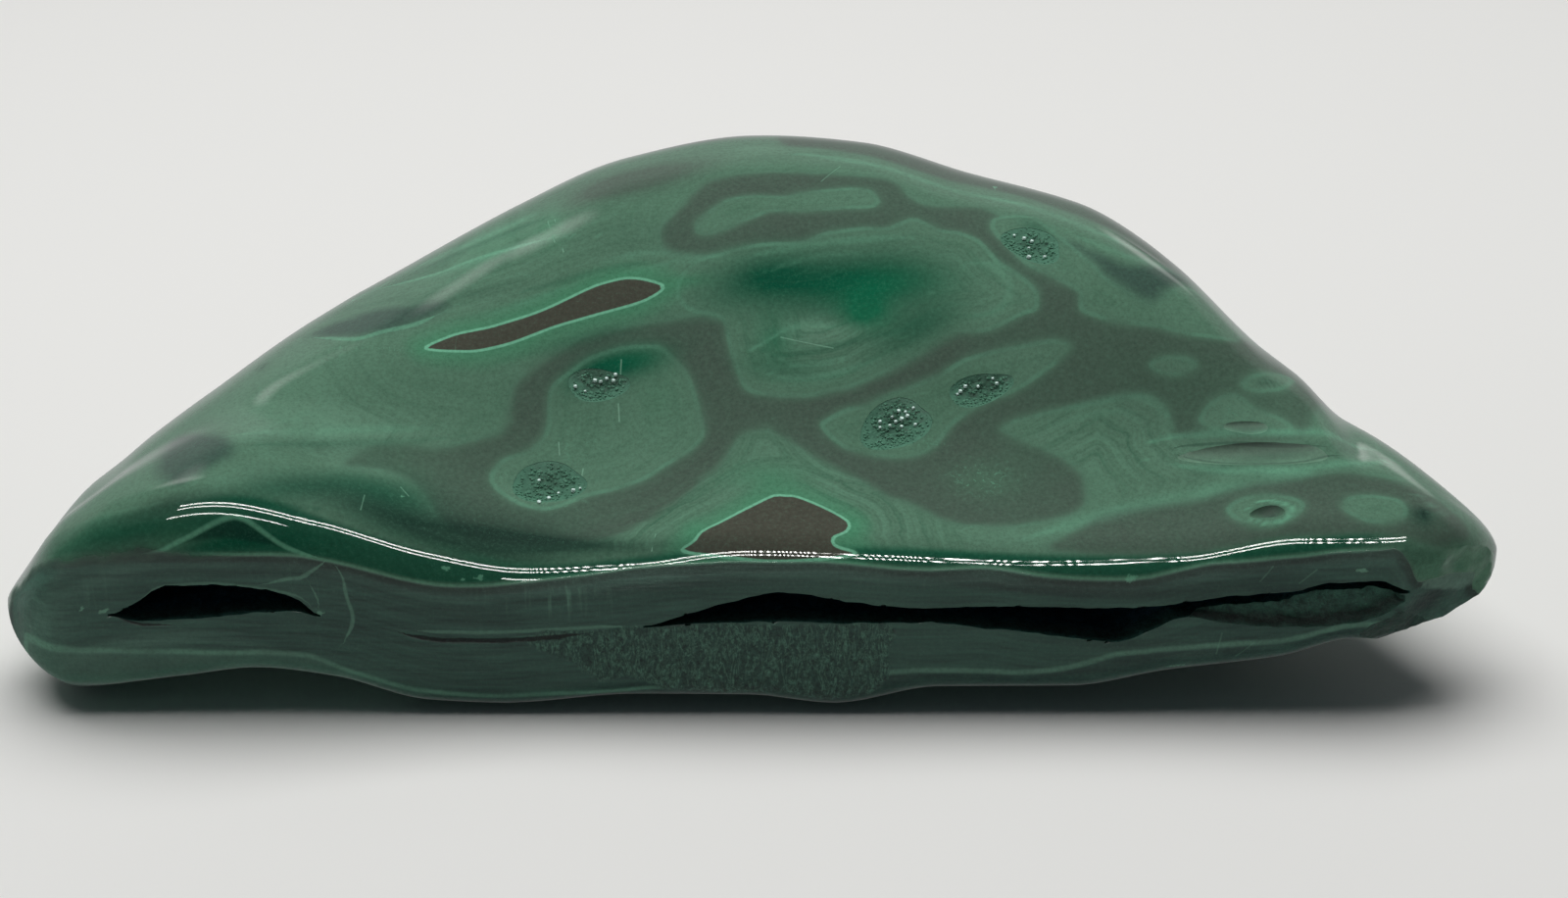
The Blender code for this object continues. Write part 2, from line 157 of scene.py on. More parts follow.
# Slits and broken places in the sawn face, each point (x, lower edge, upper edge)
LONG_SLIT = (
    (-11.0, 10.6, 10.8), (-7.0, 11.0, 12.0), (-2.0, 11.2, 13.6), (3.5, 11.3, 14.8), (10.0, 11.1, 13.7),
    (18.0, 11.2, 12.9), (26.0, 10.4, 13.1), (33.0, 9.5, 13.0), (38.5, 8.9, 12.9), (42.0, 10.3, 13.1),
    (45.0, 11.7, 13.5), (50.0, 12.3, 14.3), (56.0, 13.0, 14.8), (61.0, 14.2, 15.9), (65.5, 14.6, 16.1),
    (68.8, 14.6, 14.9),
)
SHORT_SLIT = (
    (-66.8, 12.0, 12.2), (-63.5, 11.4, 13.6), (-60.5, 11.5, 15.6), (-56.0, 11.8, 15.6),
    (-51.0, 12.4, 15.2), (-47.2, 12.5, 14.2), (-44.6, 11.9, 12.1),
)
BROKEN_SHELF = (
    (46.0, 11.8, 12.2), (49.5, 11.2, 13.0), (53.0, 10.8, 13.4), (58.0, 10.7, 14.2), (63.0, 11.1, 15.2),
    (66.5, 12.3, 15.0), (68.3, 13.6, 14.4),
)
SLIT_MOUTH = 2.0
SLIT_DEPTH = 11.0
SLIT_NARROWING = 0.45
SLIT_END_TAPER = 0.40
SHELF_DEPTH = 1.5
SHELF_NARROWING = 0.8
RAGGED_GAP = 1.5

# Slots of the stone's finishes
POLISHED, BROKEN, SLIT, HOLLOW, PAINTED_SHADE_BREAK, POLISHED_HOLLOW = range(6)

# Chips broken off the ends: a point on each flat break, the way it faces, half its size and its finish
CHIPS = (
    ((68.7, -39.0, 15.1), (0.55, -0.81, -0.19), 26.0, POLISHED),
    # The three chips that face the floor take a darker copy of the broken finish, painted shade
    ((73.3, -34.8, 9.8), (0.42, -0.15, -0.90), 26.0, PAINTED_SHADE_BREAK),
    ((66.0, -39.0, 11.6), (0.30, -0.80, -0.51), 26.0, PAINTED_SHADE_BREAK),
    ((66.5, -38.0, 9.3), (0.30, -0.50, -0.81), 26.0, PAINTED_SHADE_BREAK),
    ((-76.7, -33.0, 4.2), (-0.72, -0.12, -0.68), 14.0, BROKEN),
)
CHIP_STEP = 0.7
CHIP_LIFT = 0.15
CHIP_ROUGHNESS = ((0.30, 0.35), (0.9, 0.16), (2.1, 0.06))

# Hollows in the top: name, x, y, half length, half width, depth, turn in degrees
DRUSE_HOLLOWS = (
    ("druse_left_upper", -16.7, -15.1, 3.4, 2.0, 1.3, 8.0),
    ("druse_left_lower", -21.5, -25.8, 4.1, 2.7, 1.5, 12.0),
    ("druse_centre_left", 15.7, -20.3, 4.5, 2.7, 1.6, 38.0),
    ("druse_centre_right", 25.1, -16.6, 3.6, 1.8, 1.3, 28.0),
    ("druse_upper_right", 31.5, -1.8, 4.1, 2.4, 1.4, -42.0),
)
PLAIN_HOLLOWS = (
    ("flat_hollow", 54.3, -25.9, 10.2, 1.5, 0.8, -2.0),
    ("ring_hollow", 54.2, -34.1, 1.7, 1.1, 0.9, 0.0),
    ("oval_hollow", 53.4, -22.6, 2.3, 0.9, 0.35, 0.0),
)
HOLLOW_RISE = 0.5
CRUST_GAP = -0.02
CRUST_EDGE = 0.02
CRUST_DISH = 0.55
CRYSTAL_EDGE = 0.10
CRUST_RINGS = 10
CRUST_SPOKES = 44
CRUST_LUMPS = 0.22
HOLLOW_BANDS = 22
RAY_START = 4.0
SHARP_ANGLE = 35.0

# Outlines of the markings, in picture points: pale lobes, dark bands, soft dark places and brown hearts
LOBES = {
    "left": (
        (560, 403), (564, 392), (580, 379), (600, 365), (620, 358), (640, 353), (660, 352), (674, 353),
        (687, 364), (703, 383), (714, 416), (719, 440), (714, 451), (702, 462), (680, 475), (660, 488),
        (631, 499), (600, 506), (580, 514), (560, 520), (540, 518), (522, 511), (507, 500), (500, 490),
        (503, 479), (514, 468), (540, 458), (553, 446), (558, 435), (559, 420),
    ),
    "eye": (
        (735, 325), (742, 346), (747, 366), (754, 385), (761, 397), (776, 403), (800, 405), (824, 405),
        (846, 401), (870, 395), (899, 383), (920, 373), (941, 362), (960, 349), (980, 340), (1000, 339),
        (1016, 335), (1042, 322), (1057, 317), (1060, 310), (1059, 298), (1052, 289), (1035, 276),
        (1019, 266), (1011, 257), (999, 245), (980, 237), (960, 234), (940, 225), (929, 223), (905, 232),
        (880, 232), (842, 237), (819, 246), (780, 248), (740, 257), (710, 266), (690, 290), (700, 315),
    ),
    "bean": (
        (710, 234), (711, 225), (725, 214), (740, 204), (768, 199), (799, 200), (820, 196), (860, 192),
        (880, 192), (890, 195), (897, 204), (896, 208), (888, 212), (860, 213), (820, 216), (788, 216),
        (775, 220), (747, 232), (736, 236), (723, 240), (712, 238),
    ),
    "upper_right": (
        (1011, 232), (1013, 224), (1023, 221), (1040, 220), (1055, 222), (1068, 230), (1080, 239),
        (1101, 257), (1120, 273), (1128, 283), (1153, 298), (1166, 307), (1179, 308), (1189, 301),
        (1199, 294), (1209, 293), (1220, 298), (1242, 317), (1264, 339), (1266, 345), (1257, 348),
        (1220, 343), (1180, 334), (1140, 330), (1120, 324), (1103, 317), (1101, 306), (1099, 297),
        (1073, 283), (1047, 270), (1025, 249), (1016, 240),
    ),
    "centre": (
        (837, 433), (842, 428), (863, 417), (881, 413), (900, 404), (920, 397), (940, 389), (960, 380),
        (980, 368), (1000, 361), (1040, 352), (1076, 346), (1091, 351), (1092, 357), (1080, 369),
        (1060, 384), (1037, 399), (1015, 408), (994, 418), (973, 433), (956, 454), (943, 463), (926, 467),
        (909, 467), (887, 465), (866, 459), (850, 449), (842, 441),
    ),
    "small_oval": (
        (1172, 372), (1184, 364), (1204, 363), (1221, 370), (1214, 380), (1196, 384), (1180, 380),
    ),
    "edge_oval": (
        (1266, 391), (1278, 382), (1296, 380), (1320, 387), (1312, 396), (1290, 400), (1272, 398),
    ),
    "right": (
        (1223, 428), (1230, 415), (1240, 407), (1256, 401), (1269, 406), (1280, 415), (1297, 422),
        (1310, 428), (1320, 437), (1310, 441), (1264, 440), (1240, 440), (1230, 435),
    ),
    "ring_halo": (
        (1252, 522), (1262, 510), (1284, 504), (1308, 505), (1330, 512), (1326, 524), (1306, 536),
        (1276, 538),
    ),
    "green_patch": (
        (1371, 520), (1374, 508), (1400, 505), (1428, 510), (1437, 524), (1424, 533), (1394, 532),
    ),
}
DARK_SHAPES = {
    "left": (
        (352, 474), (372, 458), (400, 453), (440, 457), (462, 456), (490, 447), (507, 443), (518, 433),
        (521, 412), (526, 394), (535, 383), (560, 365), (580, 354), (600, 343), (640, 334), (680, 328),
        (720, 323), (752, 336), (790, 375), (830, 420), (800, 432), (780, 437), (760, 441), (748, 455),
        (733, 477), (720, 487), (700, 504), (680, 518), (660, 531), (635, 544), (600, 553), (550, 558),
        (500, 554), (460, 540), (440, 515), (425, 495), (395, 480),
    ),
    "middle": (
        (770, 420), (790, 380), (850, 390), (920, 350), (990, 320), (1035, 300), (1000, 262), (1005, 215),
        (1030, 230), (1060, 250), (1120, 300), (1200, 325), (1262, 343), (1280, 352), (1300, 364),
        (1340, 392), (1356, 410), (1340, 425), (1330, 446), (1280, 452), (1230, 450), (1200, 446),
        (1193, 422), (1188, 411), (1175, 402), (1160, 402), (1121, 409), (1080, 417), (1040, 426),
        (1024, 433), (1023, 440), (1033, 446), (1050, 453), (1070, 461), (1087, 470), (1100, 481),
        (1106, 492), (1107, 505), (1104, 516), (1095, 523), (1080, 528), (1040, 535), (1000, 536),
        (980, 534), (960, 529), (940, 518), (920, 510), (902, 504), (885, 494), (855, 479), (820, 459),
        (790, 440),
    ),
    "top": (
        (674, 238), (677, 230), (686, 221), (701, 206), (710, 195), (722, 186), (740, 181), (782, 176),
        (820, 177), (880, 180), (912, 186), (929, 202), (940, 208), (960, 211), (1005, 213), (1030, 232),
        (1050, 260), (1000, 275), (960, 260), (920, 245), (880, 240), (842, 240), (800, 250), (780, 248),
        (760, 250), (740, 255), (723, 259), (699, 259), (684, 256), (676, 249),
    ),
    "lower_right": (
        (1078, 562), (1089, 546), (1102, 538), (1120, 526), (1160, 516), (1220, 510), (1250, 500),
        (1280, 492), (1320, 487), (1390, 484), (1440, 496), (1480, 520), (1500, 548), (1470, 558),
        (1420, 548), (1330, 548), (1220, 566),
    ),
    "back_edge": (
        (793, 138), (796, 145), (801, 149), (840, 152), (880, 158), (920, 169), (960, 182), (1000, 191),
        (1040, 200), (1080, 213), (1120, 228), (1160, 247), (1190, 263), (1196, 258), (1160, 236),
        (1100, 205), (1020, 180), (940, 158), (880, 140), (820, 132),
    ),
}
SOFT_SHAPES = {
    "left_ellipse": (
        (161, 484), (160, 470), (168, 456), (180, 447), (200, 442), (220, 443), (234, 449), (240, 458),
        (232, 468), (198, 486), (179, 495),
    ),
    "left_lens": (
        (316, 342), (340, 330), (360, 323), (380, 317), (420, 311), (445, 307), (457, 311), (445, 321),
        (420, 331), (387, 340), (345, 344),
    ),
    "right_edge": (
        (1085, 245), (1105, 252), (1130, 262), (1150, 270), (1180, 272), (1205, 280), (1222, 293),
        (1209, 291), (1195, 294), (1179, 306), (1166, 305), (1150, 295), (1128, 281), (1112, 265),
    ),
}
BROWN_SHAPES = {
    "leaf": (
        (435, 354), (460, 343), (480, 338), (500, 334), (520, 328), (560, 314), (600, 295), (620, 288),
        (640, 284), (660, 286), (677, 293), (660, 305), (640, 312), (600, 323), (560, 335), (520, 350),
        (500, 355), (480, 358), (445, 357),
    ),
    "spade": (
        (700, 563), (709, 552), (717, 542), (737, 532), (766, 517), (789, 506), (800, 506), (813, 507),
        (836, 516), (856, 526), (866, 534), (863, 542), (850, 548), (852, 557), (870, 566), (780, 572),
    ),
}
# The rough patch of the sawn face, the pale facet at its right end and the dark peak over the short slit
FACE_SHAPES = {
    "rough_patch": (
        (536, 652), (560, 644), (600, 645), (640, 641), (700, 638), (800, 638), (905, 638), (907, 660),
        (903, 696), (880, 708), (840, 712), (800, 706), (740, 706), (680, 702), (640, 690), (610, 694),
        (585, 676), (560, 668),
    ),
    "pale_facet": (
        (1449, 601), (1467, 591), (1480, 587), (1514, 585), (1515, 594), (1498, 606), (1474, 605),
    ),
    "peak": (
        (140, 566), (163, 562), (181, 553), (196, 546), (212, 537), (227, 530), (239, 527), (250, 530),
        (261, 537), (273, 546), (288, 556), (304, 563), (330, 570),
    ),
}

# Lobes on the back and the underside, which aren't in the photograph: x, way over the skin, half sizes, turn
HIDDEN_LOBES = (
    (-31.0, 77.0, 12.0, 6.0, -18.0), (6.0, 90.0, 16.0, 6.5, 8.0), (36.0, 76.0, 9.0, 5.0, 24.0),
    (-54.0, 60.0, 8.0, 4.5, -30.0), (58.0, 53.0, 8.0, 4.0, 32.0), (-8.0, 74.0, 6.5, 3.0, 5.0),
    (26.0, 102.0, 10.0, 4.0, 4.0), (-37.0, 97.0, 11.0, 4.5, -8.0), (-30.0, -46.0, 12.0, 7.0, 12.0),
    (10.0, -62.0, 15.0, 8.0, -14.0), (41.0, -42.0, 9.0, 6.0, 20.0), (-4.0, -36.0, 8.0, 4.0, 0.0),
    (-56.0, -36.0, 8.0, 5.0, 28.0), (-20.0, -78.0, 10.0, 5.0, -10.0),
)
HIDDEN_BAND = 3.4

# Edges from left to right with everything below them as far as FACE_FLOOR: the line between polish and sawn
# face, the top of the deep green rim (partly painted shade where it faces the dark front), and the pale line
# low on the face
EDGES = {
    "sawn": (
        (14, 600), (40, 575), (60, 570), (120, 567), (163, 565), (200, 565), (240, 566), (280, 566),
        (304, 567), (327, 571), (360, 578), (407, 590), (448, 597), (479, 598), (522, 595), (565, 590),
        (608, 585), (648, 579), (680, 576), (720, 574), (780, 573), (840, 573), (888, 577), (916, 580),
        (951, 581), (1003, 579), (1031, 582), (1060, 587), (1094, 590), (1123, 591), (1166, 590),
        (1207, 581), (1236, 575), (1279, 572), (1322, 568), (1365, 563), (1408, 561), (1426, 560),
        (1438, 574), (1448, 594), (1466, 593), (1484, 589), (1512, 586),
    ),
    "rim_top": (
        (24, 578), (60, 546), (110, 528), (170, 517), (250, 508), (300, 520), (350, 538), (410, 558),
        (462, 571), (560, 580), (650, 570), (700, 564), (780, 560), (860, 560), (1000, 565), (1150, 569),
        (1230, 566), (1300, 559), (1360, 549), (1418, 547), (1450, 560), (1500, 580),
    ),
    "low_rim": (
        (26, 648), (60, 662), (120, 664), (217, 666), (281, 666), (319, 670), (350, 682), (379, 691),
        (407, 700), (436, 705), (465, 708), (508, 710), (551, 708), (623, 705), (666, 701), (723, 699),
        (800, 704), (845, 702), (873, 694), (902, 687), (937, 684), (994, 684), (1037, 686), (1066, 684),
        (1094, 680), (1138, 668), (1166, 665), (1207, 661), (1242, 658), (1293, 655), (1322, 651),
        (1351, 644), (1380, 638), (1420, 636),
    ),
}
FACE_FLOOR = -34.0

# Thin lines: pale lines that bound no marking (one of them a painted highlight), the flat hollow's edges
# drawn as painted shade, and cracks and veins of the sawn face
LINES = {
    "left_line": ((385, 296), (440, 281), (480, 266), (520, 254), (558, 243)),
    # Painted highlight: the pale line under the dark lens on the left
    "lens_line": ((318, 345), (360, 346), (391, 338), (423, 331), (450, 319)),
    "hollow_top": ((1194, 461), (1205, 455), (1250, 452), (1300, 453), (1362, 458)),
    "hollow_low": ((1200, 464), (1222, 468), (1260, 470), (1320, 469), (1374, 466)),
    "long_crack": ((404, 645), (426, 650), (455, 653), (503, 653), (552, 651), (600, 646)),
    "crack_lip": ((418, 643), (474, 645), (531, 644), (589, 641), (645, 638)),
    "vein_left": ((336, 570), (308, 589), (296, 590), (264, 598)),
    "vein_middle": ((314, 592), (319, 601), (324, 612), (324, 624)),
    "vein_right": ((340, 574), (350, 590), (353, 607), (360, 628), (357, 643), (348, 658)),
    "slit_lip": (
        (140, 613), (151, 606), (159, 600), (190, 596), (240, 597), (258, 599), (288, 604), (306, 609),
        (322, 622),
    ),
    "second_crack": ((113, 627), (145, 637), (180, 637)),
}

# Soft patches of tone, some of them painted light or shade, in picture points: middle, half sizes, turn in
# degrees, strength
PATCHES = {
    "deep": (
        ((868, 288), (120, 34), -3, 1.0), ((775, 282), (55, 26), -14, 0.55),
        ((935, 335), (55, 20), -25, 0.6), ((240, 553), (70, 11), 0, 1.0), ((640, 370), (42, 17), -12, 0.9),
        ((604, 384), (30, 16), -20, 0.8), ((400, 508), (62, 26), 12, 0.75),
        ((300, 497), (90, 15), -4, 0.6), ((150, 540), (100, 13), -3, 0.45),
        ((600, 345), (60, 10), -15, 0.4), ((1060, 236), (24, 9), 35, 0.5), ((800, 375), (50, 14), 5, 0.35),
        ((1452, 528), (14, 10), 30, 0.5),
    ),
    "vivid": (
        ((884, 318), (30, 20), 0, 1.0), ((900, 290), (70, 22), -4, 0.7), ((790, 345), (24, 26), 10, 0.5),
        ((300, 548), (60, 10), 14, 0.6), ((120, 542), (70, 12), -4, 0.6), ((560, 583), (130, 8), 2, 0.7),
        ((645, 368), (40, 14), -10, 0.5), ((1000, 568), (150, 5), 2, 0.5), ((1290, 558), (90, 7), -4, 0.6),
        ((640, 308), (60, 8), -16, 0.2),
    ),
    "brown_zone": (
        ((655, 182), (72, 12), -12, 1.25), ((620, 192), (40, 8), -16, 0.5),
        ((960, 170), (150, 8), 17, 0.5), ((1150, 380), (80, 40), 20, 0.35), ((760, 420), (30, 20), 0, 0.3),
        ((430, 468), (70, 14), -4, 0.3),
    ),
    # Painted shade inside the three plain hollows, and three small dark spots of the stone
    "pit": (
        ((1296, 521), (12, 6), 0, 0.55), ((1277, 438), (24, 6), 0, 0.3), ((1296, 462), (88, 8), 0, 0.22),
        ((1293, 390), (14, 4), 0, 0.4), ((268, 374), (7, 3), -25, 0.4), ((1451, 524), (12, 7), 30, 0.7),
    ),
    "fleck": (
        ((84, 620), (7, 3), 10, 1.0), ((105, 623), (10, 3), 8, 1.0), ((326, 626), (7, 6), 0, 0.7),
        ((1154, 590), (7, 6), 0, 1.0), ((1390, 582), (8, 3), 0, 0.9), ((455, 580), (8, 4), 0, 0.9),
        ((471, 591), (6, 3), 0, 0.8), ((490, 589), (8, 4), 0, 0.9), ((1200, 679), (20, 3), -6, 0.6),
        ((1358, 612), (5, 9), 10, 0.7), ((411, 506), (4, 4), 0, 0.6), ((1016, 191), (4, 3), 0, 0.8),
    ),
    "face_shade": (
        ((1464, 618), (30, 13), -24, 1.0), ((1080, 602), (160, 7), 1, 0.6),
        ((290, 580), (120, 8), 2, 0.35), ((700, 598), (110, 9), 0, 0.35), ((1240, 600), (60, 10), -6, 0.3),
        ((470, 628), (60, 9), 4, 0.3), ((1150, 655), (90, 9), -4, 0.3), ((150, 600), (40, 12), 20, 0.2),
    ),
    "streak": (
        ((562, 613), (60, 18), 0, 1.0), ((395, 512), (34, 18), 0, 0.5), ((660, 560), (30, 14), 0, 0.5),
        ((120, 600), (50, 20), 0, 0.35),
    ),
    "glow": (
        ((705, 286), (24, 7), -4, 0.5), ((500, 245), (75, 13), -24, 0.45), ((560, 234), (14, 16), 0, 0.35),
        ((786, 486), (44, 15), 0, 0.45), ((870, 540), (18, 16), 30, 0.5), ((705, 543), (16, 14), 0, 0.4),
        ((640, 280), (40, 5), -8, 0.35), ((730, 450), (30, 16), -40, 0.1),
        ((670, 400), (24, 40), 10, 0.12), ((1160, 544), (22, 7), 0, 0.35),
        ((200, 535), (60, 9), -12, 0.45),
    ),
    # Lighter stone, and on the left saddle a painted sheen that stands in for the soft highlight there
    "light": (
        ((828, 338), (44, 11), -3, 0.8), ((985, 285), (58, 32), 0, 0.35), ((1130, 462), (90, 34), 4, 0.35),
        ((1003, 490), (38, 19), 0, 0.9), ((660, 455), (60, 34), -20, 0.2),
        ((600, 530), (80, 20), -10, 0.2), ((330, 380), (100, 26), -8, 0.25),
        ((400, 470), (60, 26), 0, 0.9), ((40, 640), (26, 44), 0, 0.7), ((140, 655), (120, 9), 2, 0.6),
        ((110, 588), (46, 10), -12, 0.4), ((1240, 664), (60, 8), -6, 0.4), ((350, 436), (110, 30), 4, 0.5),
        ((285, 415), (80, 10), 8, 0.7), ((780, 152), (40, 5), 0, 0.5), ((520, 505), (30, 12), 10, 0.3),
        ((1200, 320), (50, 16), 12, 0.2), ((1170, 385), (110, 50), 20, 0.75),
        ((1300, 420), (70, 40), 20, 0.5),
    ),
    # Painted shade: near-black patches, mostly by the front rim where the polish faces the dark front
    "shade": (
        ((440, 542), (140, 20), 10, 0.9), ((600, 556), (120, 8), 0, 0.6), ((530, 545), (70, 22), 4, 0.5),
        ((170, 515), (60, 10), -10, 0.5), ((640, 240), (60, 20), -10, 0.15),
        ((1425, 566), (30, 8), 0, 0.3), ((330, 455), (90, 10), 4, 0.2), ((480, 300), (60, 8), -12, 0.2),
    ),
    "speck": (
        ((1003, 490), (36, 18), 0, 1.0), ((545, 505), (50, 14), 8, 0.8), ((590, 455), (40, 30), -30, 0.4),
        ((930, 452), (50, 10), 0, 0.5), ((1060, 262), (40, 12), 35, 0.4), ((1255, 420), (28, 12), 10, 0.5),
    ),
    "stripe": (
        ((680, 515), (90, 26), -33, 1.0), ((860, 500), (90, 24), 30, 1.0), ((1130, 455), (90, 34), 6, 0.7),
        ((850, 345), (90, 40), 0, 0.8), ((980, 285), (60, 40), 0, 0.5), ((480, 260), (100, 20), -24, 0.6),
        ((300, 440), (110, 26), 4, 0.8), ((230, 490), (80, 14), -14, 0.9),
        ((1040, 545), (120, 10), 0, 0.5),
    ),
}

# Soft growth lines, and two pale bands beside the flat hollow that are a painted reflection: strength (below
# 0 is dark), half width in millimetres, picture points
FLOW_AND_SHEEN_LINES = (
    (0.8, 0.5, ((800, 156), (840, 160), (880, 166), (960, 190), (1040, 208), (1120, 237), (1190, 272))),
    (2.0, 0.28, ((1272, 522), (1280, 513), (1298, 511), (1316, 517), (1313, 528), (1296, 534), (1279, 531),
                 (1271, 524))),
    (0.9, 0.9, ((350, 312), (400, 286), (450, 262), (500, 240), (556, 213))),
    (0.8, 0.5, ((430, 289), (480, 269), (545, 246), (600, 240))),
    (-0.8, 0.8, ((360, 303), (430, 274), (520, 236), (570, 218))),
    (0.5, 0.6, ((600, 292), (680, 268), (760, 263))), (0.5, 0.5, ((590, 276), (660, 258), (720, 262))),
    (-0.5, 0.6, ((520, 300), (600, 280), (690, 262))), (0.5, 0.5, ((490, 322), (560, 300), (620, 278))),
    (0.5, 0.7, ((230, 446), (330, 440), (450, 436))), (-0.4, 0.7, ((250, 455), (350, 452), (460, 446))),
    (0.7, 0.6, ((90, 560), (140, 532), (210, 520), (260, 522))),
    (0.5, 0.5, ((60, 552), (110, 526), (170, 514))),
    (-0.7, 0.6, ((75, 560), (130, 540), (230, 512), (330, 520))),
    (0.5, 0.5, ((262, 536), (330, 556), (420, 580), (520, 592))),
    (0.7, 1.0, ((1040, 552), (1110, 530), (1200, 508), (1300, 488), (1360, 482))),
    (0.5, 0.5, ((1050, 426), (1110, 412), (1160, 404), (1192, 426), (1196, 446))),
    (0.4, 0.5, ((1060, 438), (1110, 424), (1150, 420), (1170, 440))),
    (0.6, 0.5, ((752, 268), (790, 256), (850, 247), (950, 243))),
    (0.5, 0.4, ((770, 282), (830, 262), (900, 258))),
    (0.6, 0.5, ((968, 312), (985, 322), (1015, 318), (1030, 298), (1018, 274), (990, 268), (972, 284))),
    (0.6, 0.5, ((765, 372), (800, 386), (850, 382), (905, 362))),
    (0.5, 0.4, ((780, 360), (820, 372), (880, 360))), (0.8, 0.9, ((785, 346), (815, 332), (868, 334))),
    (-0.5, 0.5, ((770, 352), (800, 362), (880, 346), (930, 334))),
    # Painted reflection: the pale bands above and below the flat hollow
    (1.3, 0.6, ((1170, 452), (1200, 445), (1250, 442), (1310, 442), (1370, 449), (1410, 460))),
    (1.3, 0.6, ((1185, 472), (1220, 477), (1270, 480), (1330, 479), (1390, 473), (1430, 470))),
    (0.6, 0.8, ((1440, 500), (1475, 530), (1492, 560))),
    (-0.7, 0.7, ((1452, 512), (1486, 546), (1500, 575))),
    (0.5, 0.6, ((1085, 235), (1140, 258), (1190, 274), (1240, 305))),
    (0.4, 0.5, ((1300, 372), (1350, 400), (1400, 420))),
)

# Short pale scratches and streaks on the stone, in picture points
SCRATCHES = (
    ((634, 367), (633, 386)), ((570, 451), (571, 464)), ((595, 478), (593, 490)), ((838, 185), (857, 170)),
    ((559, 226), (566, 247)), ((566, 224), (575, 257)), ((631, 412), (632, 430)), ((797, 344), (850, 355)),
    ((669, 545), (665, 562)), ((1286, 593), (1299, 578)), ((1326, 595), (1344, 581)),
    ((1241, 667), (1247, 646)), ((1261, 669), (1279, 656)), ((409, 497), (417, 506)),
    ((372, 505), (368, 520)),
)

# Bright crystals at the glints, a painted highlight, in picture points, for each lined hollow
SPARKLES = {
    "druse_left_upper": (
        (587, 394), (607, 388), (613, 389), (619, 386), (626, 388), (597, 399), (628, 382),
    ),
    "druse_left_lower": ((550, 490), (592, 498), (570, 503), (550, 512), (585, 500), (560, 508)),
    "druse_centre_left": (
        (898, 430), (898, 436), (908, 434), (910, 425), (917, 419), (924, 420), (932, 416), (940, 415),
        (920, 427), (920, 435), (934, 433), (926, 424), (914, 430),
    ),
    "druse_centre_right": (
        (977, 402), (985, 394), (998, 394), (1010, 379), (1013, 386), (1017, 391), (980, 399),
    ),
    "druse_upper_right": (
        (1032, 232), (1035, 240), (1045, 243), (1053, 246), (1050, 253), (1050, 262), (1066, 262),
    ),
}
FAR = 12.0
FLOW_TAPER = 6.0
LINE_TAPER = 3.0
EDGE_OVERHANG = 4.0

# Tones that aren't settings: the polished top, the sawn face, and the openings and breaks
SOFT_DARK = (0.046, 0.084, 0.070)
HOLLOW_PAINTED_SHADE = (0.008, 0.030, 0.022)
PAINTED_SHADE_DARK = (0.006, 0.030, 0.020)
PEAK_DARK = (0.004, 0.042, 0.026)
DUST_DARK = (0.006, 0.018, 0.012)
FACE_DARK = (0.014, 0.062, 0.048)
FACE_TOP_DARK = (0.010, 0.030, 0.022)
FACE_CLOUD = (0.040, 0.098, 0.068)
FACE_SHADE = (0.014, 0.040, 0.032)
FACE_LIGHT = (0.104, 0.270, 0.188)
LOW_RIM_LEFT = (0.082, 0.235, 0.155)
# Painted shade below the low pale line, darker towards the floor
LOW_RIM_PAINTED_SHADE = (0.014, 0.060, 0.048)
CHIP_DARK = (0.010, 0.050, 0.040)
CHIP_LIGHT = (0.080, 0.260, 0.190)
FACET_PALE = (0.16, 0.33, 0.24)
CRACK_DARK = (0.004, 0.010, 0.008)
# Slit walls deep inside: a bluish tint, painted shade colour
SLIT_PAINTED_SHADE_TINT = (0.050, 0.120, 0.165)
SLIT_MOUTH_TINT = (0.050, 0.150, 0.124)
HOLLOW_TINT = (0.070, 0.210, 0.130)
# Painted shade: the broken finish darkened for the chips that face the floor
PAINTED_SHADE_BREAK_TINT = (0.034, 0.118, 0.082)
HOLLOW_POLISH = 0.70
POLISH_IOR = 1.72
CRYSTAL_IOR = 1.45

# Crystals, with lean and turn in radians, and then the bigger pale ones at the glints, a painted highlight
CRYSTAL_SIDES = 6
CRYSTAL_POINT = 0.35
CRYSTAL_LEAN = 0.5
CRYSTAL_TURN = 6.28
CRYSTAL_SMALLEST = 0.55
CRYSTAL_LARGEST = 1.35
SPARKLE_SIZE = 0.62
SPARKLE_SPREAD = 0.30
SPARKLE_TAPER = 0.85
SPARKLE_LIFT = 0.6
SPARKLE_FACING = (0.0, -0.15, 1.0)
SPARKLE_TILT = 0.4

# Rows of small lamps in front: name, height in degrees, left and right end, half height
LAMP_ROWS = (
    ("row_high", 62.0, -255.0, 146.0, 14.0), ("row_middle", 53.0, -255.0, 146.0, 12.0),
    ("row_left", 32.0, -255.0, -10.0, 13.0),
)
LAMP_DISTANCE = 420.0
LAMP_GAP = 3.0
LAMP_HALF_WIDTH = 0.45
LAMP_AIM_HEIGHT = 20.0
LAMP_COLOUR = (1.0, 0.98, 0.95)

# The large lamp, in metres, and the floor
TOP_LAMP_PLACE = (-0.05, 0.16, 0.75)
TOP_LAMP_AIM = (0.0, 0.0, 0.01)
TOP_LAMP_SIZE = (1.0, 0.6)
FLOOR_SIZE = 4000.0

# Soft windows of the room that the polish mirrors: the way to them, the soft edge's start and end, brightness
WINDOWS = (((-0.41, 0.63, 0.66), 0.02, 0.17, 1.2), ((0.37, 0.87, 0.33), 0.02, 0.15, 0.9))
WINDOW_COLOUR = (1.0, 0.99, 0.97)

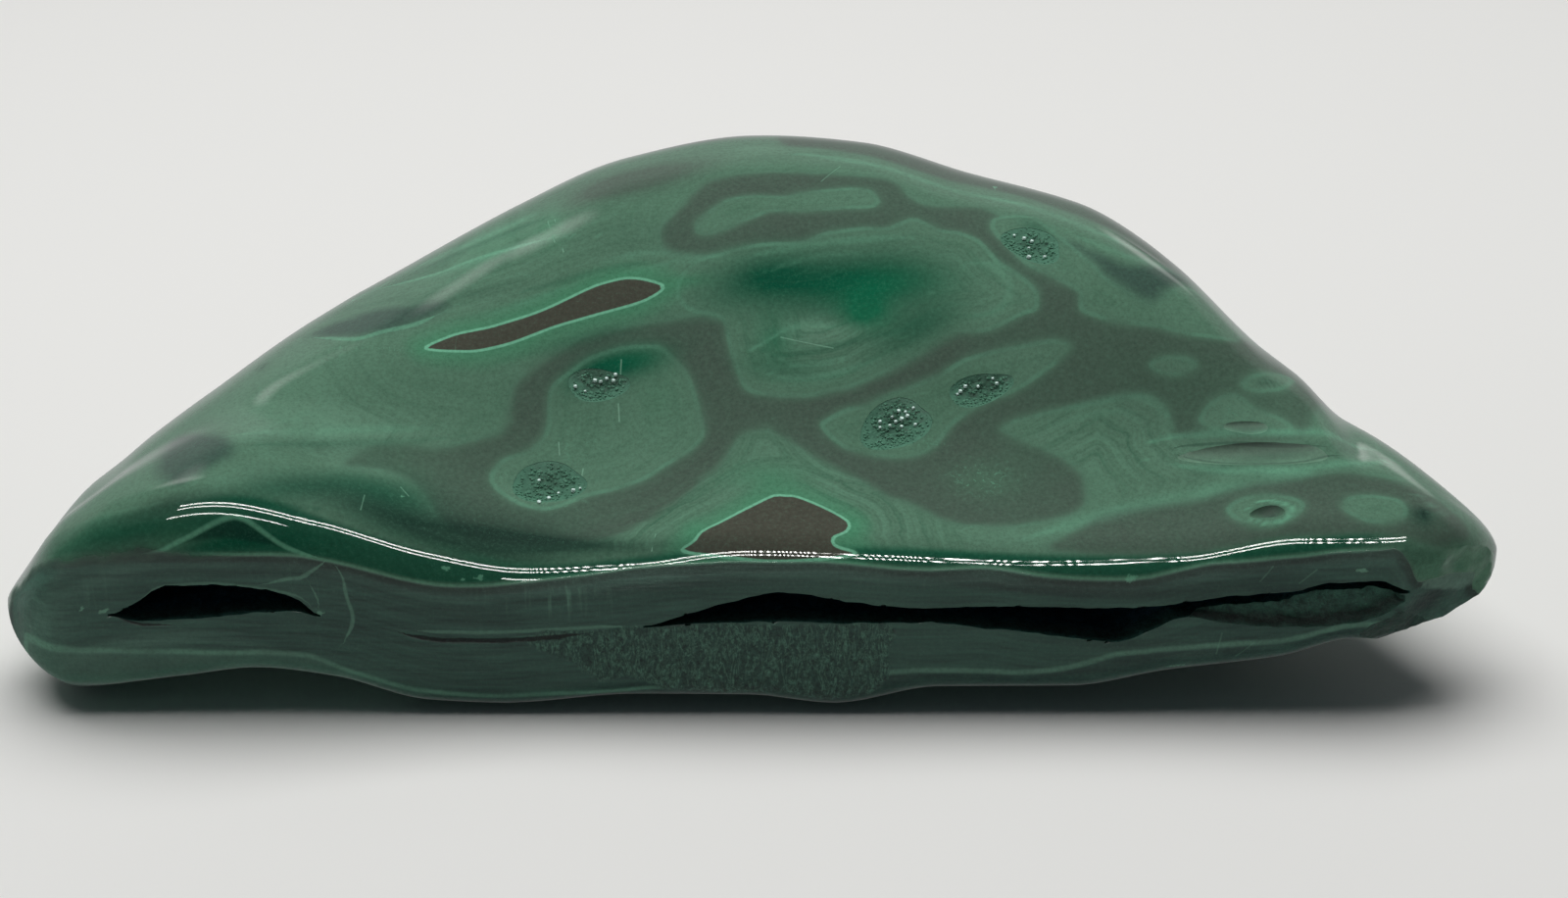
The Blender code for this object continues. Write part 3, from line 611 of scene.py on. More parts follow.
# The room's white light by the way that it comes from: start, end, and its share before and after
ROOM_BEHIND = (-0.10, 0.55)
ROOM_HIGH = (0.46, 0.68, 1.0, 0.12)
ROOM_LOW = (-0.20, 0.15, 0.42, 0.24)
ROOM_LIGHT = 0.032
ROOM_COLOUR = (0.60, 0.85, 1.0)


def colour_setting(name, description, default):
    """A colour that a user can change."""
    return FloatVectorProperty(name=name, description=description, subtype="COLOR", size=3, default=default)


class StoneSettings(bpy.types.PropertyGroup):
    """Finishes of the stone that a user would change."""
    mid_green: colour_setting("Mid green", "Ground colour of the polished top", (0.105, 0.220, 0.142))
    light_green: colour_setting("Light green", "Lighter lobes and stripes", (0.146, 0.286, 0.192))
    deep_green: colour_setting(
        "Deep green", "Saturated green in the eye and along the rim", (0.004, 0.098, 0.050))
    bright_green: colour_setting(
        "Bright green", "Glowing green beside the pale outlines", (0.075, 0.320, 0.165))
    pale_green: colour_setting("Pale green", "Thin outlines of the markings", (0.220, 0.600, 0.380))
    dark_band: colour_setting("Dark band", "Brown-green bands between the lobes", (0.088, 0.130, 0.098))
    brown: colour_setting("Brown", "Brown hearts with a bright outline", (0.086, 0.085, 0.064))
    sawn_green: colour_setting("Sawn green", "Dull grey-green of the sawn face", (0.058, 0.240, 0.158))
    broken_green: colour_setting("Broken green", "Rough green of the breaks", (0.066, 0.210, 0.150))
    vivid_green: colour_setting(
        "Vivid green", "Strong green in the eye and in the rim", (0.006, 0.170, 0.080))
    polish: FloatProperty(
        name="Polish", description="Roughness of the polished top", min=0.0, max=1.0, subtype="FACTOR",
        default=0.02)
    sawn_roughness: FloatProperty(
        name="Sawn roughness", description="Roughness of the sawn face", min=0.0, max=1.0, subtype="FACTOR",
        default=0.52)


class CrystalSettings(bpy.types.PropertyGroup):
    """The crystals that line the hollows."""
    width: FloatProperty(
        name="Width", description="Width of a usual crystal", unit="LENGTH", min=0.0, default=0.34 * MM)
    length: FloatProperty(
        name="Length", description="Length of a usual crystal", unit="LENGTH", min=0.0, default=0.17 * MM)
    per_square_metre: FloatProperty(
        name="Density", description="Crystals on each square metre of crust", min=0.0, default=6.5e6)
    seed: IntProperty(name="Seed", description="Starts the random turns and sizes", min=0, default=7)
    colour: colour_setting("Colour", "Body colour of the crystals", (0.120, 0.300, 0.200))
    # Near-white colour of the crystals set at the glints: a painted highlight
    sparkle: colour_setting("Sparkle", "Crystals that catch the light", (0.80, 1.0, 0.93))


class StageSettings(bpy.types.PropertyGroup):
    """Floor, lights and camera."""
    floor_colour: colour_setting("Floor", "Colour of the pale floor", (0.88, 0.87, 0.845))
    lens: FloatProperty(name="Lens", description="Focal length in millimetres", min=1.0, default=CAMERA_LENS)
    top_light: FloatProperty(
        name="Top light", description="Power of the soft lamp above and behind, in watts", min=0.0,
        default=6.85)
    strip_light: FloatProperty(
        name="Lamp rows", description="Brightness of the rows of small lamps", min=0.0, default=42.0)


def along(curve, x, column=1):
    """Read a smooth curve through given points at x, with no overshoot between them."""
    xs = [p[0] for p in curve]
    vs = [p[column] for p in curve]
    if x <= xs[0]:
        return vs[0]
    if x >= xs[-1]:
        return vs[-1]
    i = max(k for k in range(len(xs) - 1) if xs[k] <= x)

    def slope(k):
        if k == 0 or k == len(xs) - 1:
            return 0.0
        left = (vs[k] - vs[k - 1]) / (xs[k] - xs[k - 1])
        right = (vs[k + 1] - vs[k]) / (xs[k + 1] - xs[k])
        return 2.0 * left * right / (left + right) if left * right > 0.0 else 0.0

    span = xs[i + 1] - xs[i]
    t = (x - xs[i]) / span
    start = (2 * t ** 3 - 3 * t ** 2 + 1) * vs[i] + (t ** 3 - 2 * t ** 2 + t) * span * slope(i)
    end = (3 * t ** 2 - 2 * t ** 3) * vs[i + 1] + (t ** 3 - t ** 2) * span * slope(i + 1)
    return start + end


def bezier(p0, p1, p2, p3, steps):
    """Points along a cubic curve, without its last one."""
    points = []
    for i in range(steps):
        t = i / steps
        s = 1.0 - t
        weights = (s ** 3, 3 * s ** 2 * t, 3 * s * t ** 2, t ** 3)
        points.append(tuple(sum(w * p[k] for w, p in zip(weights, (p0, p1, p2, p3))) for k in (0, 1)))
    return points


def end_closing(x):
    """How much of the full section is left near an end, from 1 down to 0 at the tip."""
    reach = LEFT_END_REACH if x < 0 else RIGHT_END_REACH
    t = (abs(x) - (HALF_LENGTH - reach)) / reach
    if t <= 0.0:
        return 1.0
    return (1.0 - min(t, 1.0) ** END_START_POWER) ** END_TIP_POWER


def swell(x, y):
    """Height that the soft swells and dents add to the top at (x, y)."""
    total = 0.0
    for cx, cy, wide, deep, height in SWELLS:
        total += height * math.exp(-((x - cx) / wide) ** 2 - ((y - cy) / deep) ** 2)
    return total


def underside(y, foot, back_y, back_z):
    """Height of the underside: arched at the foot and the ends, ground flat where it would reach lower."""
    t = (y - FACE_Y) / (back_y - FACE_Y)
    dip = GROUND_DEPTH * math.sin(math.pi * min(1.0, t / GROUND_REACH))
    rise = TAIL_RISE * (back_z - foot) * max(0.0, (t - TAIL_START) / (1.0 - TAIL_START)) ** 2
    return max(0.0, foot - dip + rise)


def section(x):
    """One closed section across the stone at x: face, rim, top, shoulder, tail, base and foot."""
    rim, foot = along(RIM_HEIGHT, x), along(FOOT_HEIGHT, x)
    crest = (along(CREST_Y, x), along(CREST_HEIGHT, x))
    back = (along(BACK_Y, x), along(BACK_HEIGHT, x))
    tail_y = back[0] - TAIL_SHARE * (back[0] - FACE_Y)
    tail = (tail_y, underside(tail_y, foot, *back))
    face_low, face_high = (FACE_Y, foot + FOOT_RADIUS), (FACE_Y, rim - RIM_RADIUS)
    top_start = (FACE_Y + RIM_RADIUS, rim)
    foot_start = (FACE_Y + FOOT_RADIUS, foot)
    slope = math.tan(math.radians(RIM_SLOPE))
    run = crest[0] - top_start[0]

    ring = bezier(face_low, face_low, face_high, face_high, FACE_STEPS)
    ring += bezier(face_high, (FACE_Y, rim - RIM_RADIUS * CORNER_PULL),
                   (FACE_Y + RIM_RADIUS * CORNER_PULL, rim - RIM_RADIUS * CORNER_PULL * slope),
                   top_start, RIM_STEPS)
    top = bezier(top_start, (top_start[0] + run * TOP_PULL, rim + run * TOP_PULL * slope),
                 (crest[0] - run * CREST_PULL, crest[1]), crest, TOP_STEPS)
    ring += [(y, z + swell(x, y)) for y, z in top]
    ring += bezier(crest, (crest[0] + SHOULDER_PULL * (back[0] - crest[0]), crest[1]),
                   (back[0], back[1] + SHOULDER_PULL * (crest[1] - back[1])), back, SHOULDER_STEPS)
    ring += bezier(back, (back[0], 0.5 * (back[1] + tail[1])),
                   (0.5 * (back[0] + tail[0]), tail[1] + TAIL_SHARE * 0.5 * (back[1] - tail[1])),
                   tail, TAIL_STEPS)
    for i in range(BASE_STEPS):
        y = tail_y + (foot_start[0] - tail_y) * i / BASE_STEPS
        ring.append((y, underside(y, foot, *back)))
    ring += bezier(foot_start, (FACE_Y + FOOT_RADIUS * CORNER_PULL, foot),
                   (FACE_Y, foot + FOOT_RADIUS * CORNER_PULL), face_low, FOOT_STEPS)

    tip = LEFT_TIP if x < 0 else RIGHT_TIP
    k = end_closing(x)
    return [(tip[0] + (y - tip[0]) * k, tip[1] + (z - tip[1]) * k) for y, z in ring]


def rounded(ring, x):
    """Ease the bend where the top meets the back near both ends, as hand polishing does."""
    first = FACE_STEPS + RIM_STEPS + TOP_STEPS // 3
    last = FACE_STEPS + RIM_STEPS + TOP_STEPS + SHOULDER_STEPS - 4
    points = np.array(ring)
    share = min(1.0, max(0.0, (abs(x) - EASING_START) / EASING_RUN))
    for _ in range(round(CREST_EASING * share)):
        before, here, after = (points[first + k:last + k] for k in (-1, 0, 1))
        points[first:last] = 0.25 * before + 0.5 * here + 0.25 * after
    return [tuple(point) for point in points]


def stations():
    """Places of the sections along the length: even in the middle, closer at the rounded ends."""
    left, right = LEFT_END_REACH - HALF_LENGTH, HALF_LENGTH - RIGHT_END_REACH
    count = round((right - left) / STATION_GAP)
    middle = [left + (right - left) * i / count for i in range(count + 1)]
    shares = [math.sin(0.5 * math.pi * i / END_STATIONS) for i in range(1, END_STATIONS)]
    left_end = [left - LEFT_END_REACH * share for share in reversed(shares)]
    right_end = [right + RIGHT_END_REACH * share for share in shares]
    return left_end + middle + right_end


class Skin:
    """The bare stone's skin before anything is cut, and a flat map of it.

    A place on the map is (x, way): the way runs over the skin across the stone, from 0 at the middle of the
    front rim, up over the top as positive and down the sawn face as negative.
    """

    def __init__(self):
        self.points, self.ways, self.faces = [], [], []
        places = stations()
        zero = FACE_STEPS + RIM_STEPS // 2
        rings = [rounded(section(x), x) for x in places]
        size = len(rings[0])
        turn = FACE_STEPS + RIM_STEPS + TOP_STEPS + SHOULDER_STEPS + TAIL_STEPS
        for x, ring in zip(places, rings):
            ways = [0.0] * size
            for i in range(zero + 1, turn):
                ways[i] = ways[i - 1] + math.dist(ring[i], ring[i - 1])
            for i in range(zero - 1, -1, -1):
                ways[i] = ways[i + 1] - math.dist(ring[i], ring[i + 1])
            for i in range(size - 1, turn - 1, -1):
                ways[i] = ways[(i + 1) % size] - math.dist(ring[i], ring[(i + 1) % size])
            self.points += [(x, y, z) for y, z in ring]
            self.ways += ways
        for row in range(len(places) - 1):
            for i in range(size):
                j = (i + 1) % size
                low, high = row * size, (row + 1) * size
                self.faces.append((low + i, low + j, high + j, high + i))
        for row, tip, side in ((0, LEFT_TIP, -1.0), (len(places) - 1, RIGHT_TIP, 1.0)):
            pole = len(self.points)
            self.points.append((side * HALF_LENGTH, tip[0], tip[1]))
            self.ways.append(0.0)
            for i in range(size):
                self.faces.append((row * size + i, row * size + (i + 1) % size, pole))
        self.corners = []
        for face in self.faces:
            self.corners.append(face[:3])
            if len(face) == 4:
                self.corners.append((face[0], face[2], face[3]))
        self.tree = BVHTree.FromPolygons(self.points, self.corners)

    def map_place(self, place, index):
        """The flat map's (x, way) of a place on one of the skin's triangles."""
        corner = self.corners[index]
        weights = poly_3d_calc([Vector(self.points[k]) for k in corner], place)
        return place.x, sum(w * self.ways[k] for w, k in zip(weights, corner))

    def nearest(self, place):
        """The flat map's place nearest to a point."""
        found, _, index, _ = self.tree.find_nearest(Vector(place))
        return self.map_place(found, index)

    def under(self, pixel):
        """Where the camera's line through a picture point meets the skin: the place and its flat map's place.

        A point just outside the stone's edge is moved down the picture until it meets the stone.
        """
        pixel_x, pixel_y = pixel
        for step in range(60):
            start, way = camera_line(pixel_x, pixel_y + step)
            found, _, index, _ = self.tree.ray_cast(start, way)
            if found:
                return found, self.map_place(found, index)
        raise ValueError(f"picture point {pixel} isn't on the stone")

    def mapped(self, pixels):
        """Picture points as places on the flat map."""
        return np.array([self.under(pixel)[1] for pixel in pixels])


SKIN = []


def shared_skin():
    """The bare skin, made once and used by every operator."""
    if not SKIN:
        SKIN.append(Skin())
    return SKIN[0]


def camera_line(pixel_x, pixel_y):
    """Start and direction of the line from the camera through a picture point."""
    rise = math.radians(CAMERA_ELEVATION)
    forward = Vector((0.0, math.cos(rise), -math.sin(rise)))
    up = Vector((0.0, math.sin(rise), math.cos(rise)))
    focal = CAMERA_LENS / SENSOR_WIDTH * PICTURE_WIDTH
    across = (pixel_x - 0.5 * PICTURE_WIDTH) / focal
    above = (0.5 * PICTURE_HEIGHT - pixel_y) / focal
    way = forward + Vector((across, 0.0, 0.0)) + up * above
    return CAMERA_TARGET - forward * CAMERA_DISTANCE, way.normalized()


def smooth_path(points, closed, steps=5):
    """Points along a smooth curve through the given ones."""
    count = len(points)
    path = []
    for i in range(count if closed else count - 1):
        if closed:
            p0, p1, p2, p3 = (points[(i + k) % count] for k in (-1, 0, 1, 2))
        else:
            p0, p1, p2, p3 = (points[min(max(i + k, 0), count - 1)] for k in (-1, 0, 1, 2))
        for s in range(steps):
            t = s / steps
            path.append(0.5 * (2 * p1 + (p2 - p0) * t + (2 * p0 - 5 * p1 + 4 * p2 - p3) * t ** 2
                               + (3 * p1 - p0 - 3 * p2 + p3) * t ** 3))
    if not closed:
        path.append(points[-1])
    return np.array(path)


def loop_distance(places, loop, far=FAR):
    """Distance of each place from a closed outline, below 0 inside it and no more than far."""
    low, high = loop.min(0) - far, loop.max(0) + far
    near = np.flatnonzero(np.all((places > low) & (places < high), axis=1))
    result = np.full(len(places), far)
    if not len(near):
        return result
    p = places[near]
    best = np.full(len(p), far ** 2)
    inside = np.zeros(len(p), bool)
    for a, b in zip(loop, np.roll(loop, -1, axis=0)):
        edge = b - a
        share = np.clip(((p - a) @ edge) / max(edge @ edge, 1e-12), 0.0, 1.0)
        gap = p - a - share[:, None] * edge
        best = np.minimum(best, (gap ** 2).sum(1))
        crosses = (a[1] > p[:, 1]) != (b[1] > p[:, 1])
        with np.errstate(divide="ignore", invalid="ignore"):
            at = a[0] + (p[:, 1] - a[1]) * edge[0] / edge[1]
        inside ^= crosses & (p[:, 0] < at)
    distance = np.sqrt(best)
    result[near] = np.where(inside, -distance, distance)
    return result


def line_offset(places, line, taper, far=FAR):
    """Sideways offset of each place from an open line, larger near its ends so that the line thins out."""
    near = np.flatnonzero(np.all((places > line.min(0) - 2.0) & (places < line.max(0) + 2.0), axis=1))
    result = np.full(len(places), far)
    places = places[near]
    lengths = np.r_[0.0, np.cumsum(np.hypot(*np.diff(line, axis=0).T))]
    best = np.full(len(places), far ** 2)
    side = np.full(len(places), far)
    reach = np.zeros(len(places))
    for a, b, start in zip(line, line[1:], lengths):
        edge = b - a
        size = max(math.hypot(*edge), 1e-9)
        share = np.clip(((places - a) @ edge) / size ** 2, 0.0, 1.0)
        gap = places - a - share[:, None] * edge
        square = (gap ** 2).sum(1)
        closer = square < best
        best[closer] = square[closer]
        cross = edge[0] * (places[:, 1] - a[1]) - edge[1] * (places[:, 0] - a[0])
        side[closer] = cross[closer] / size
        reach[closer] = start + share[closer] * size
    left = np.minimum(reach, lengths[-1] - reach) / taper
    result[near] = np.clip(side / np.clip(left, 0.03, 1.0), -far, far)
    return result


def hidden_lobes(places):
    """Distance of each place from the nearest lobe of the back and the underside, below 0 inside it."""
    nearest = np.full(len(places), FAR)
    for x, way, long_half, short_half, turn in HIDDEN_LOBES:
        angle = math.radians(turn)
        gap = places - np.array((x, way))
        along_it = (gap[:, 0] * math.cos(angle) + gap[:, 1] * math.sin(angle)) / long_half
        over_it = (gap[:, 1] * math.cos(angle) - gap[:, 0] * math.sin(angle)) / short_half
        around = np.arctan2(over_it, along_it)
        uneven = 1.0 + 0.16 * np.sin(2.0 * around + x) + 0.10 * np.sin(3.0 * around + way)
        size = np.hypot(along_it, over_it)
        nearest = np.minimum(nearest, (size - uneven) * 0.5 * (short_half + short_half / (0.4 + size)))
    return nearest


def patch_sum(places, skin, patches):
    """Sum of soft patches, each a bell over an ellipse given in picture points."""
    total = np.zeros(len(places))
    for middle, half, turn, strength in patches:
        angle = math.radians(turn)
        side = (math.cos(angle), math.sin(angle))
        _, centre = skin.under(middle)
        _, first = skin.under((middle[0] + half[0] * side[0], middle[1] + half[0] * side[1]))
        _, second = skin.under((middle[0] + half[1] * side[1], middle[1] - half[1] * side[0]))
        axes = np.array([np.subtract(first, centre), np.subtract(second, centre)]).T
        local = (places - np.array(centre)) @ np.linalg.inv(axes).T
        total += strength * np.exp(-1.2 * (local ** 2).sum(1))
    return total


class Wire:
    """One output in a node tree. Sums on it add Math nodes."""

    def __init__(self, nodes, socket):
        self.nodes = nodes
        self.socket = socket

    def math(self, operation, *values):
        return self.nodes.add("ShaderNodeMath", {"operation": operation}, values)

    def __add__(self, other):
        return self.math("ADD", self, other)

    def __radd__(self, other):
        return self.math("ADD", other, self)

    def __sub__(self, other):
        return self.math("SUBTRACT", self, other)

    def __rsub__(self, other):
        return self.math("SUBTRACT", other, self)

    def __mul__(self, other):
        return self.math("MULTIPLY", self, other)

    def __rmul__(self, other):
        return self.math("MULTIPLY", other, self)

    def __truediv__(self, other):
        return self.math("DIVIDE", self, other)

    def __abs__(self):
        return self.math("ABSOLUTE", self)

    def wave(self, period):
        """A wave from -1 to 1 along this value."""
        return self.math("SINE", self * (2.0 * math.pi / period))

    def most(self, other):
        return self.math("MAXIMUM", self, other)

    def least(self, other):
        return self.math("MINIMUM", self, other)

    def clip(self, high=1.0):
        """This value, held from 0 to high."""
        return self.most(0.0).least(high)

    def step(self, start, end, low=0.0, high=1.0):
        """Low before start and high after end, with a soft change between. start may be the larger one."""
        return self.nodes.add("ShaderNodeMapRange", {"interpolation_type": "SMOOTHSTEP"},
                              (self, start, end, low, high))

    def line(self, width, soft):
        """1 within width of where this value is 0, fading out over soft."""
        return abs(self).step(width + soft, width)


class Nodes:
    """A node tree that is being made."""

    def __init__(self, tree):
        self.tree = tree

    def add(self, kind, settings=None, values=(), output=0):
        """Add a node: its settings first, then the values or links of its sockets.

        Gives the wire of one output, or the node itself when output is None.
        """
        made = self.tree.nodes.new(kind)
        for name, setting in (settings or {}).items():
            setattr(made, name, setting)
        pairs = values.items() if isinstance(values, dict) else enumerate(values)
        for key, value in pairs:
            self.feed(made.inputs[key], value)
        return made if output is None else Wire(self, made.outputs[output])

    def feed(self, socket, value):
        """Link a wire to a socket, or set a plain value on it."""
        if isinstance(value, Wire):
            self.tree.links.new(value.socket, socket)
        elif socket.type == "RGBA" and len(value) == 3:
            socket.default_value = (*value, 1.0)
        else:
            socket.default_value = value


class Finish(Nodes):
    """A material that is being made from nodes."""

    def __init__(self, name):
        self.material = bpy.data.materials.new(name)
        self.material.use_nodes = True
        super().__init__(self.material.node_tree)

    def read(self, name):
        """A number kept on the mesh's points."""
        return self.add("ShaderNodeAttribute", {"attribute_name": name}, output="Fac")

    def place(self, stretch=(1.0, 1.0, 1.0)):
        """The place on the object in millimetres, stretched for a pattern that runs one way."""
        flat = self.add("ShaderNodeTexCoord", output="Object")
        scale = tuple(s / MM for s in stretch)
        return self.add("ShaderNodeVectorMath", {"operation": "MULTIPLY"}, (flat, scale))

    def noise(self, place, scale, detail=3.0, roughness=0.55, distortion=0.0):
        """Cloudy noise from -0.5 to 0.5. Scale is in turns for each millimetre."""
        values = {"Vector": place, "Scale": scale, "Detail": detail, "Roughness": roughness,
                  "Distortion": distortion}
        return self.add("ShaderNodeTexNoise", None, values) - 0.5

    def mix(self, share, first, second):
        """A colour between two colours."""
        return self.add("ShaderNodeMix", {"data_type": "RGBA"}, {0: share, 6: first, 7: second}, 2)

    def scratch(self, place, start, end, width):
        """1 on a short straight scratch between two places in millimetres, thinning at its ends."""
        run = end - start
        from_start = self.add("ShaderNodeVectorMath", {"operation": "SUBTRACT"}, (place, start))
        share = self.add("ShaderNodeVectorMath", {"operation": "DOT_PRODUCT"},
                         (from_start, run / run.length_squared), "Value").clip()
        along_run = self.add("ShaderNodeVectorMath", {"operation": "SCALE"}, {0: run, 3: share})
        gap = self.add("ShaderNodeVectorMath", {"operation": "DISTANCE"}, (from_start, along_run), "Value")
        return gap.step(width, 0.25 * width)

    def bump(self, height, depth, under=None):
        """A bump of the given depth in millimetres where height is 1."""
        values = {"Strength": 1.0, "Distance": depth * MM, "Height": height}
        if under:
            values["Normal"] = under
        return self.add("ShaderNodeBump", None, values)

    def done(self, values):
        """Put wires or plain values on the shader's sockets, and give the finished material."""
        for name, value in values.items():
            self.feed(self.tree.nodes["Principled BSDF"].inputs[name], value)
        return self.material


def polished_finish(name, polish, settings, skin):
    """Banded polished top and rim and the dull sawn face, in one material so that they meet cleanly."""
    finish = Finish(name)
    read, noise, mix = finish.read, finish.noise, finish.mix
    pale, deep_green = settings.pale_green, settings.deep_green
    place = finish.place()
    cloud = noise(place, 0.06, 4.0)
    drift = noise(place, 0.22, 3.0)
    grain = noise(place, 2.2, 4.0, 0.65)
    wobble = noise(place, 0.55, 3.0) * 0.55

    lobe = read("lobe") + wobble * 0.6
    dark = read("dark") + wobble
    brown = read("brown")
    field = read("field") + drift * 1.6
    deep = read("deep") + cloud * 0.2
    # Lighter tone, partly a painted sheen on the left saddle
    light = read("light")

    # Fine growth stripes that run beside the outlines
    stripes = field.wave(1.15) * 0.5 + (field + cloud * 3.0).wave(0.47) * 0.32
    stripes = stripes + (field + drift).wave(2.9) * 0.6
    stripes = stripes * (read("stripe") * 0.70 + 0.16)

    light_share = (cloud * 1.4 + 0.35 + stripes * 0.30 + light * 0.9).clip()
    ground = mix(light_share, settings.mid_green, settings.light_green)
    ground = mix((stripes * -0.30).clip(0.5), ground, deep_green)
    ground = mix((stripes * 0.13).clip(0.4), ground, pale)
    glow = read("glow")
    ground = mix((glow + drift * glow).clip(), ground, settings.bright_green)
    ground = mix((deep - light * 0.5 + stripes * deep * 0.2).clip(), ground, deep_green)

    # Dark bands between the lobes
    mid_share = (stripes * 0.14 + cloud * 0.8 + 0.10 + light * 0.6).clip()
    band_tone = mix(mid_share, settings.dark_band, settings.mid_green)
    band_tone = mix((deep * 0.8).least(1.0), band_tone, deep_green)
    colour = mix((dark + grain * 1.1).step(1.05, -1.05), ground, band_tone)
    colour = mix((read("soft_dark") + wobble * 2.0).step(1.1, -1.4) * 0.8, colour, SOFT_DARK)
    colour = mix((read("brown_zone") + cloud * 0.3).clip(0.9), colour, settings.dark_band)
    colour = mix((read("vivid") * (drift * 0.8 + 0.9)).clip(0.9), colour, settings.vivid_green)

    # Growth lines, with a painted reflection in the two pale bands beside the flat hollow
    flow_and_sheen = read("flow_and_sheen") * (drift * 1.6 + 0.9)
    colour = mix((flow_and_sheen * 0.30).clip(0.5), colour, pale)
    colour = mix((flow_and_sheen * -0.60).clip(0.7), colour, deep_green)

    # Pale outlines on the green side of each dark band, stronger round the lobes
    outline = ((dark - 0.25).line(0.08, 0.45) * (0.04 + drift * 0.25)
               + (lobe + 0.18).line(0.08, 0.36) * (0.08 + drift * 0.35 + cloud * 0.3))
    colour = mix(outline.clip(), colour, pale)

    # Specks of paler crystal in some lobes
    specks = noise(place, 1.9, 2.0, 0.7, 1.2).step(0.06, 0.16) * read("speck")
    colour = mix((specks * 0.40).least(1.0), colour, pale)

    # Brown hearts with a glow round them
    beside = brown.step(3.4, 0.0) * (drift * 0.6 + 0.75)
    colour = mix((beside * 0.8).clip(), colour, settings.bright_green)
    colour = mix(brown.step(0.12, -0.12), colour, settings.brown)
    colour = mix((brown - 0.05).line(0.10, 0.14) * 0.95, colour, pale)

    # Thin pale lines, one of them a painted highlight, and painted shade in and round the plain hollows
    for line, width in (("left_line", 0.10), ("lens_line", 0.16)):
        colour = mix(read(line).line(width, 0.40) * 0.35, colour, pale)
    hollow_edge_shade = read("hollow_top").line(0.08, 0.20).most(read("hollow_low").line(0.08, 0.20))
    colour = mix((read("pit") * 1.2).least(1.0).most(hollow_edge_shade * 0.40), colour, HOLLOW_PAINTED_SHADE)

    # Deep green rim between the top and the sawn face, deepened as painted shade where it faces the dark
    # front, and the dark peak over the short slit
    sawn = read("sawn")
    along_x = finish.add("ShaderNodeSeparateXYZ", None, (place,), "X")
    before_end = along_x.step(69.0, 61.0)
    after_start = along_x.step(-62.0, -50.0)
    left_end = along_x.step(-49.0, -62.0)
    # Painted shade: deeper green on the rim below its highlight, where it faces the dark front
    rim = sawn.step(0.0, 0.6) * read("rim_top").step(0.7, -0.3) * (before_end * 0.75 + 0.25)
    rim = rim * (1.0 - left_end * 0.55)
    colour = mix(rim * brown.step(0.0, 0.6) * 0.85, colour, deep_green)
    # Painted shade: near-black patches, mostly by the front rim
    colour = mix(read("shade").clip(0.85), colour, PAINTED_SHADE_DARK)
    colour = mix((read("peak") + wobble).step(0.2, -0.5) * 0.75, colour, PEAK_DARK)
    colour = mix(read("peak_line").line(0.08, 0.40) * 0.55, colour, pale)

    # Sawn face: soft layers that run along the stone
    layer_drift = noise(finish.place((0.25, 1.0, 1.0)), 0.22, 3.0) * 2.4
    layers = (sawn + layer_drift).wave(1.7) * 0.5 + (sawn + layer_drift * 0.7).wave(0.62) * 0.35
    streaks = noise(finish.place((0.10, 1.0, 1.6)), 1.1, 4.0, 0.6)
    face_tone = (layers * 0.15 + streaks * 1.1 + cloud * 1.1 + grain * 0.5 + 0.50).clip()
    face = mix(face_tone, FACE_DARK, settings.sawn_green)
    face = mix(sawn.step(-1.6, -0.3) * 0.75, face, FACE_TOP_DARK)
    face = mix((cloud * 1.4 + 0.08).clip(0.4), face, FACE_CLOUD)
    face = mix((read("face_shade") + streaks * 0.3).clip(0.85), face, FACE_SHADE)
    face = mix((light * (streaks * 2.4 + 1.05)).clip(0.8), face, FACE_LIGHT)
    # Below the low pale line: lighter green at the left end, and from the middle rightward painted shade,
    # darker towards the floor
    low = read("low_rim")
    low_tone = mix(along_x.step(-46.0, -22.0), LOW_RIM_LEFT, LOW_RIM_PAINTED_SHADE)
    face = mix((low.step(0.6, -0.8) * (0.55 + drift)).clip(0.8), face, low_tone)
    face = mix((low + wobble * 0.4).line(0.08, 0.42) * (0.34 + drift * 0.5), face, pale)
    for line, width, strength in (("crack_lip", 0.08, 0.30), ("vein_left", 0.08, 0.35),
                                  ("vein_middle", 0.08, 0.35), ("vein_right", 0.08, 0.35),
                                  ("slit_lip", 0.05, 0.25)):
        face = mix((read(line) + wobble * 0.3).line(width, 0.22) * strength, face, pale)

    # The rough patch, upright saw streaks, the pale facet and the cracks of the sawn face
    rough_patch = (read("rough_patch") + wobble * 2.2).step(0.35, -0.35)
    chips = noise(finish.place((1.0, 1.0, 0.8)), 2.0, 5.0, 0.8)
    face = mix(rough_patch, face, mix((chips * 3.0 + 0.42).clip(), CHIP_DARK, CHIP_LIGHT))
    strokes = abs(noise(finish.place((1.0, 1.0, 0.30)), 1.1, 3.0, 0.75, 0.9)).step(0.06, 0.0)
    face = mix(strokes * rough_patch * (chips * 2.4 + 0.42).most(0.0), face, pale)
    upright = noise(finish.place((1.0, 1.0, 0.06)), 1.6, 2.0, 0.6).step(0.0, 0.30) * read("streak")
    face = mix((upright * 0.50).least(0.5), face, pale)
    face = mix((read("pale_facet") + wobble).step(0.3, -0.3) * 0.55, face, FACET_PALE)
    crack = (read("long_crack") + wobble * 0.8).line(0.16, 0.22)
    crack = crack.most((read("second_crack") + wobble * 0.4).line(0.06, 0.18))
    face = mix(crack * 0.9, face, CRACK_DARK)

    # The face meets the polish in a sharp line, which softens at the left end
    on_face = ((sawn + (wobble * 3.0 + drift * 2.6) * left_end) / (left_end * 12.0 + 1.0)).step(0.06, -0.10)
    colour = mix(on_face, colour, face)
    edge_line = (sawn + wobble * 0.25).line(0.06, 0.26) * before_end * after_start
    colour = mix(edge_line * 0.32, colour, pale)

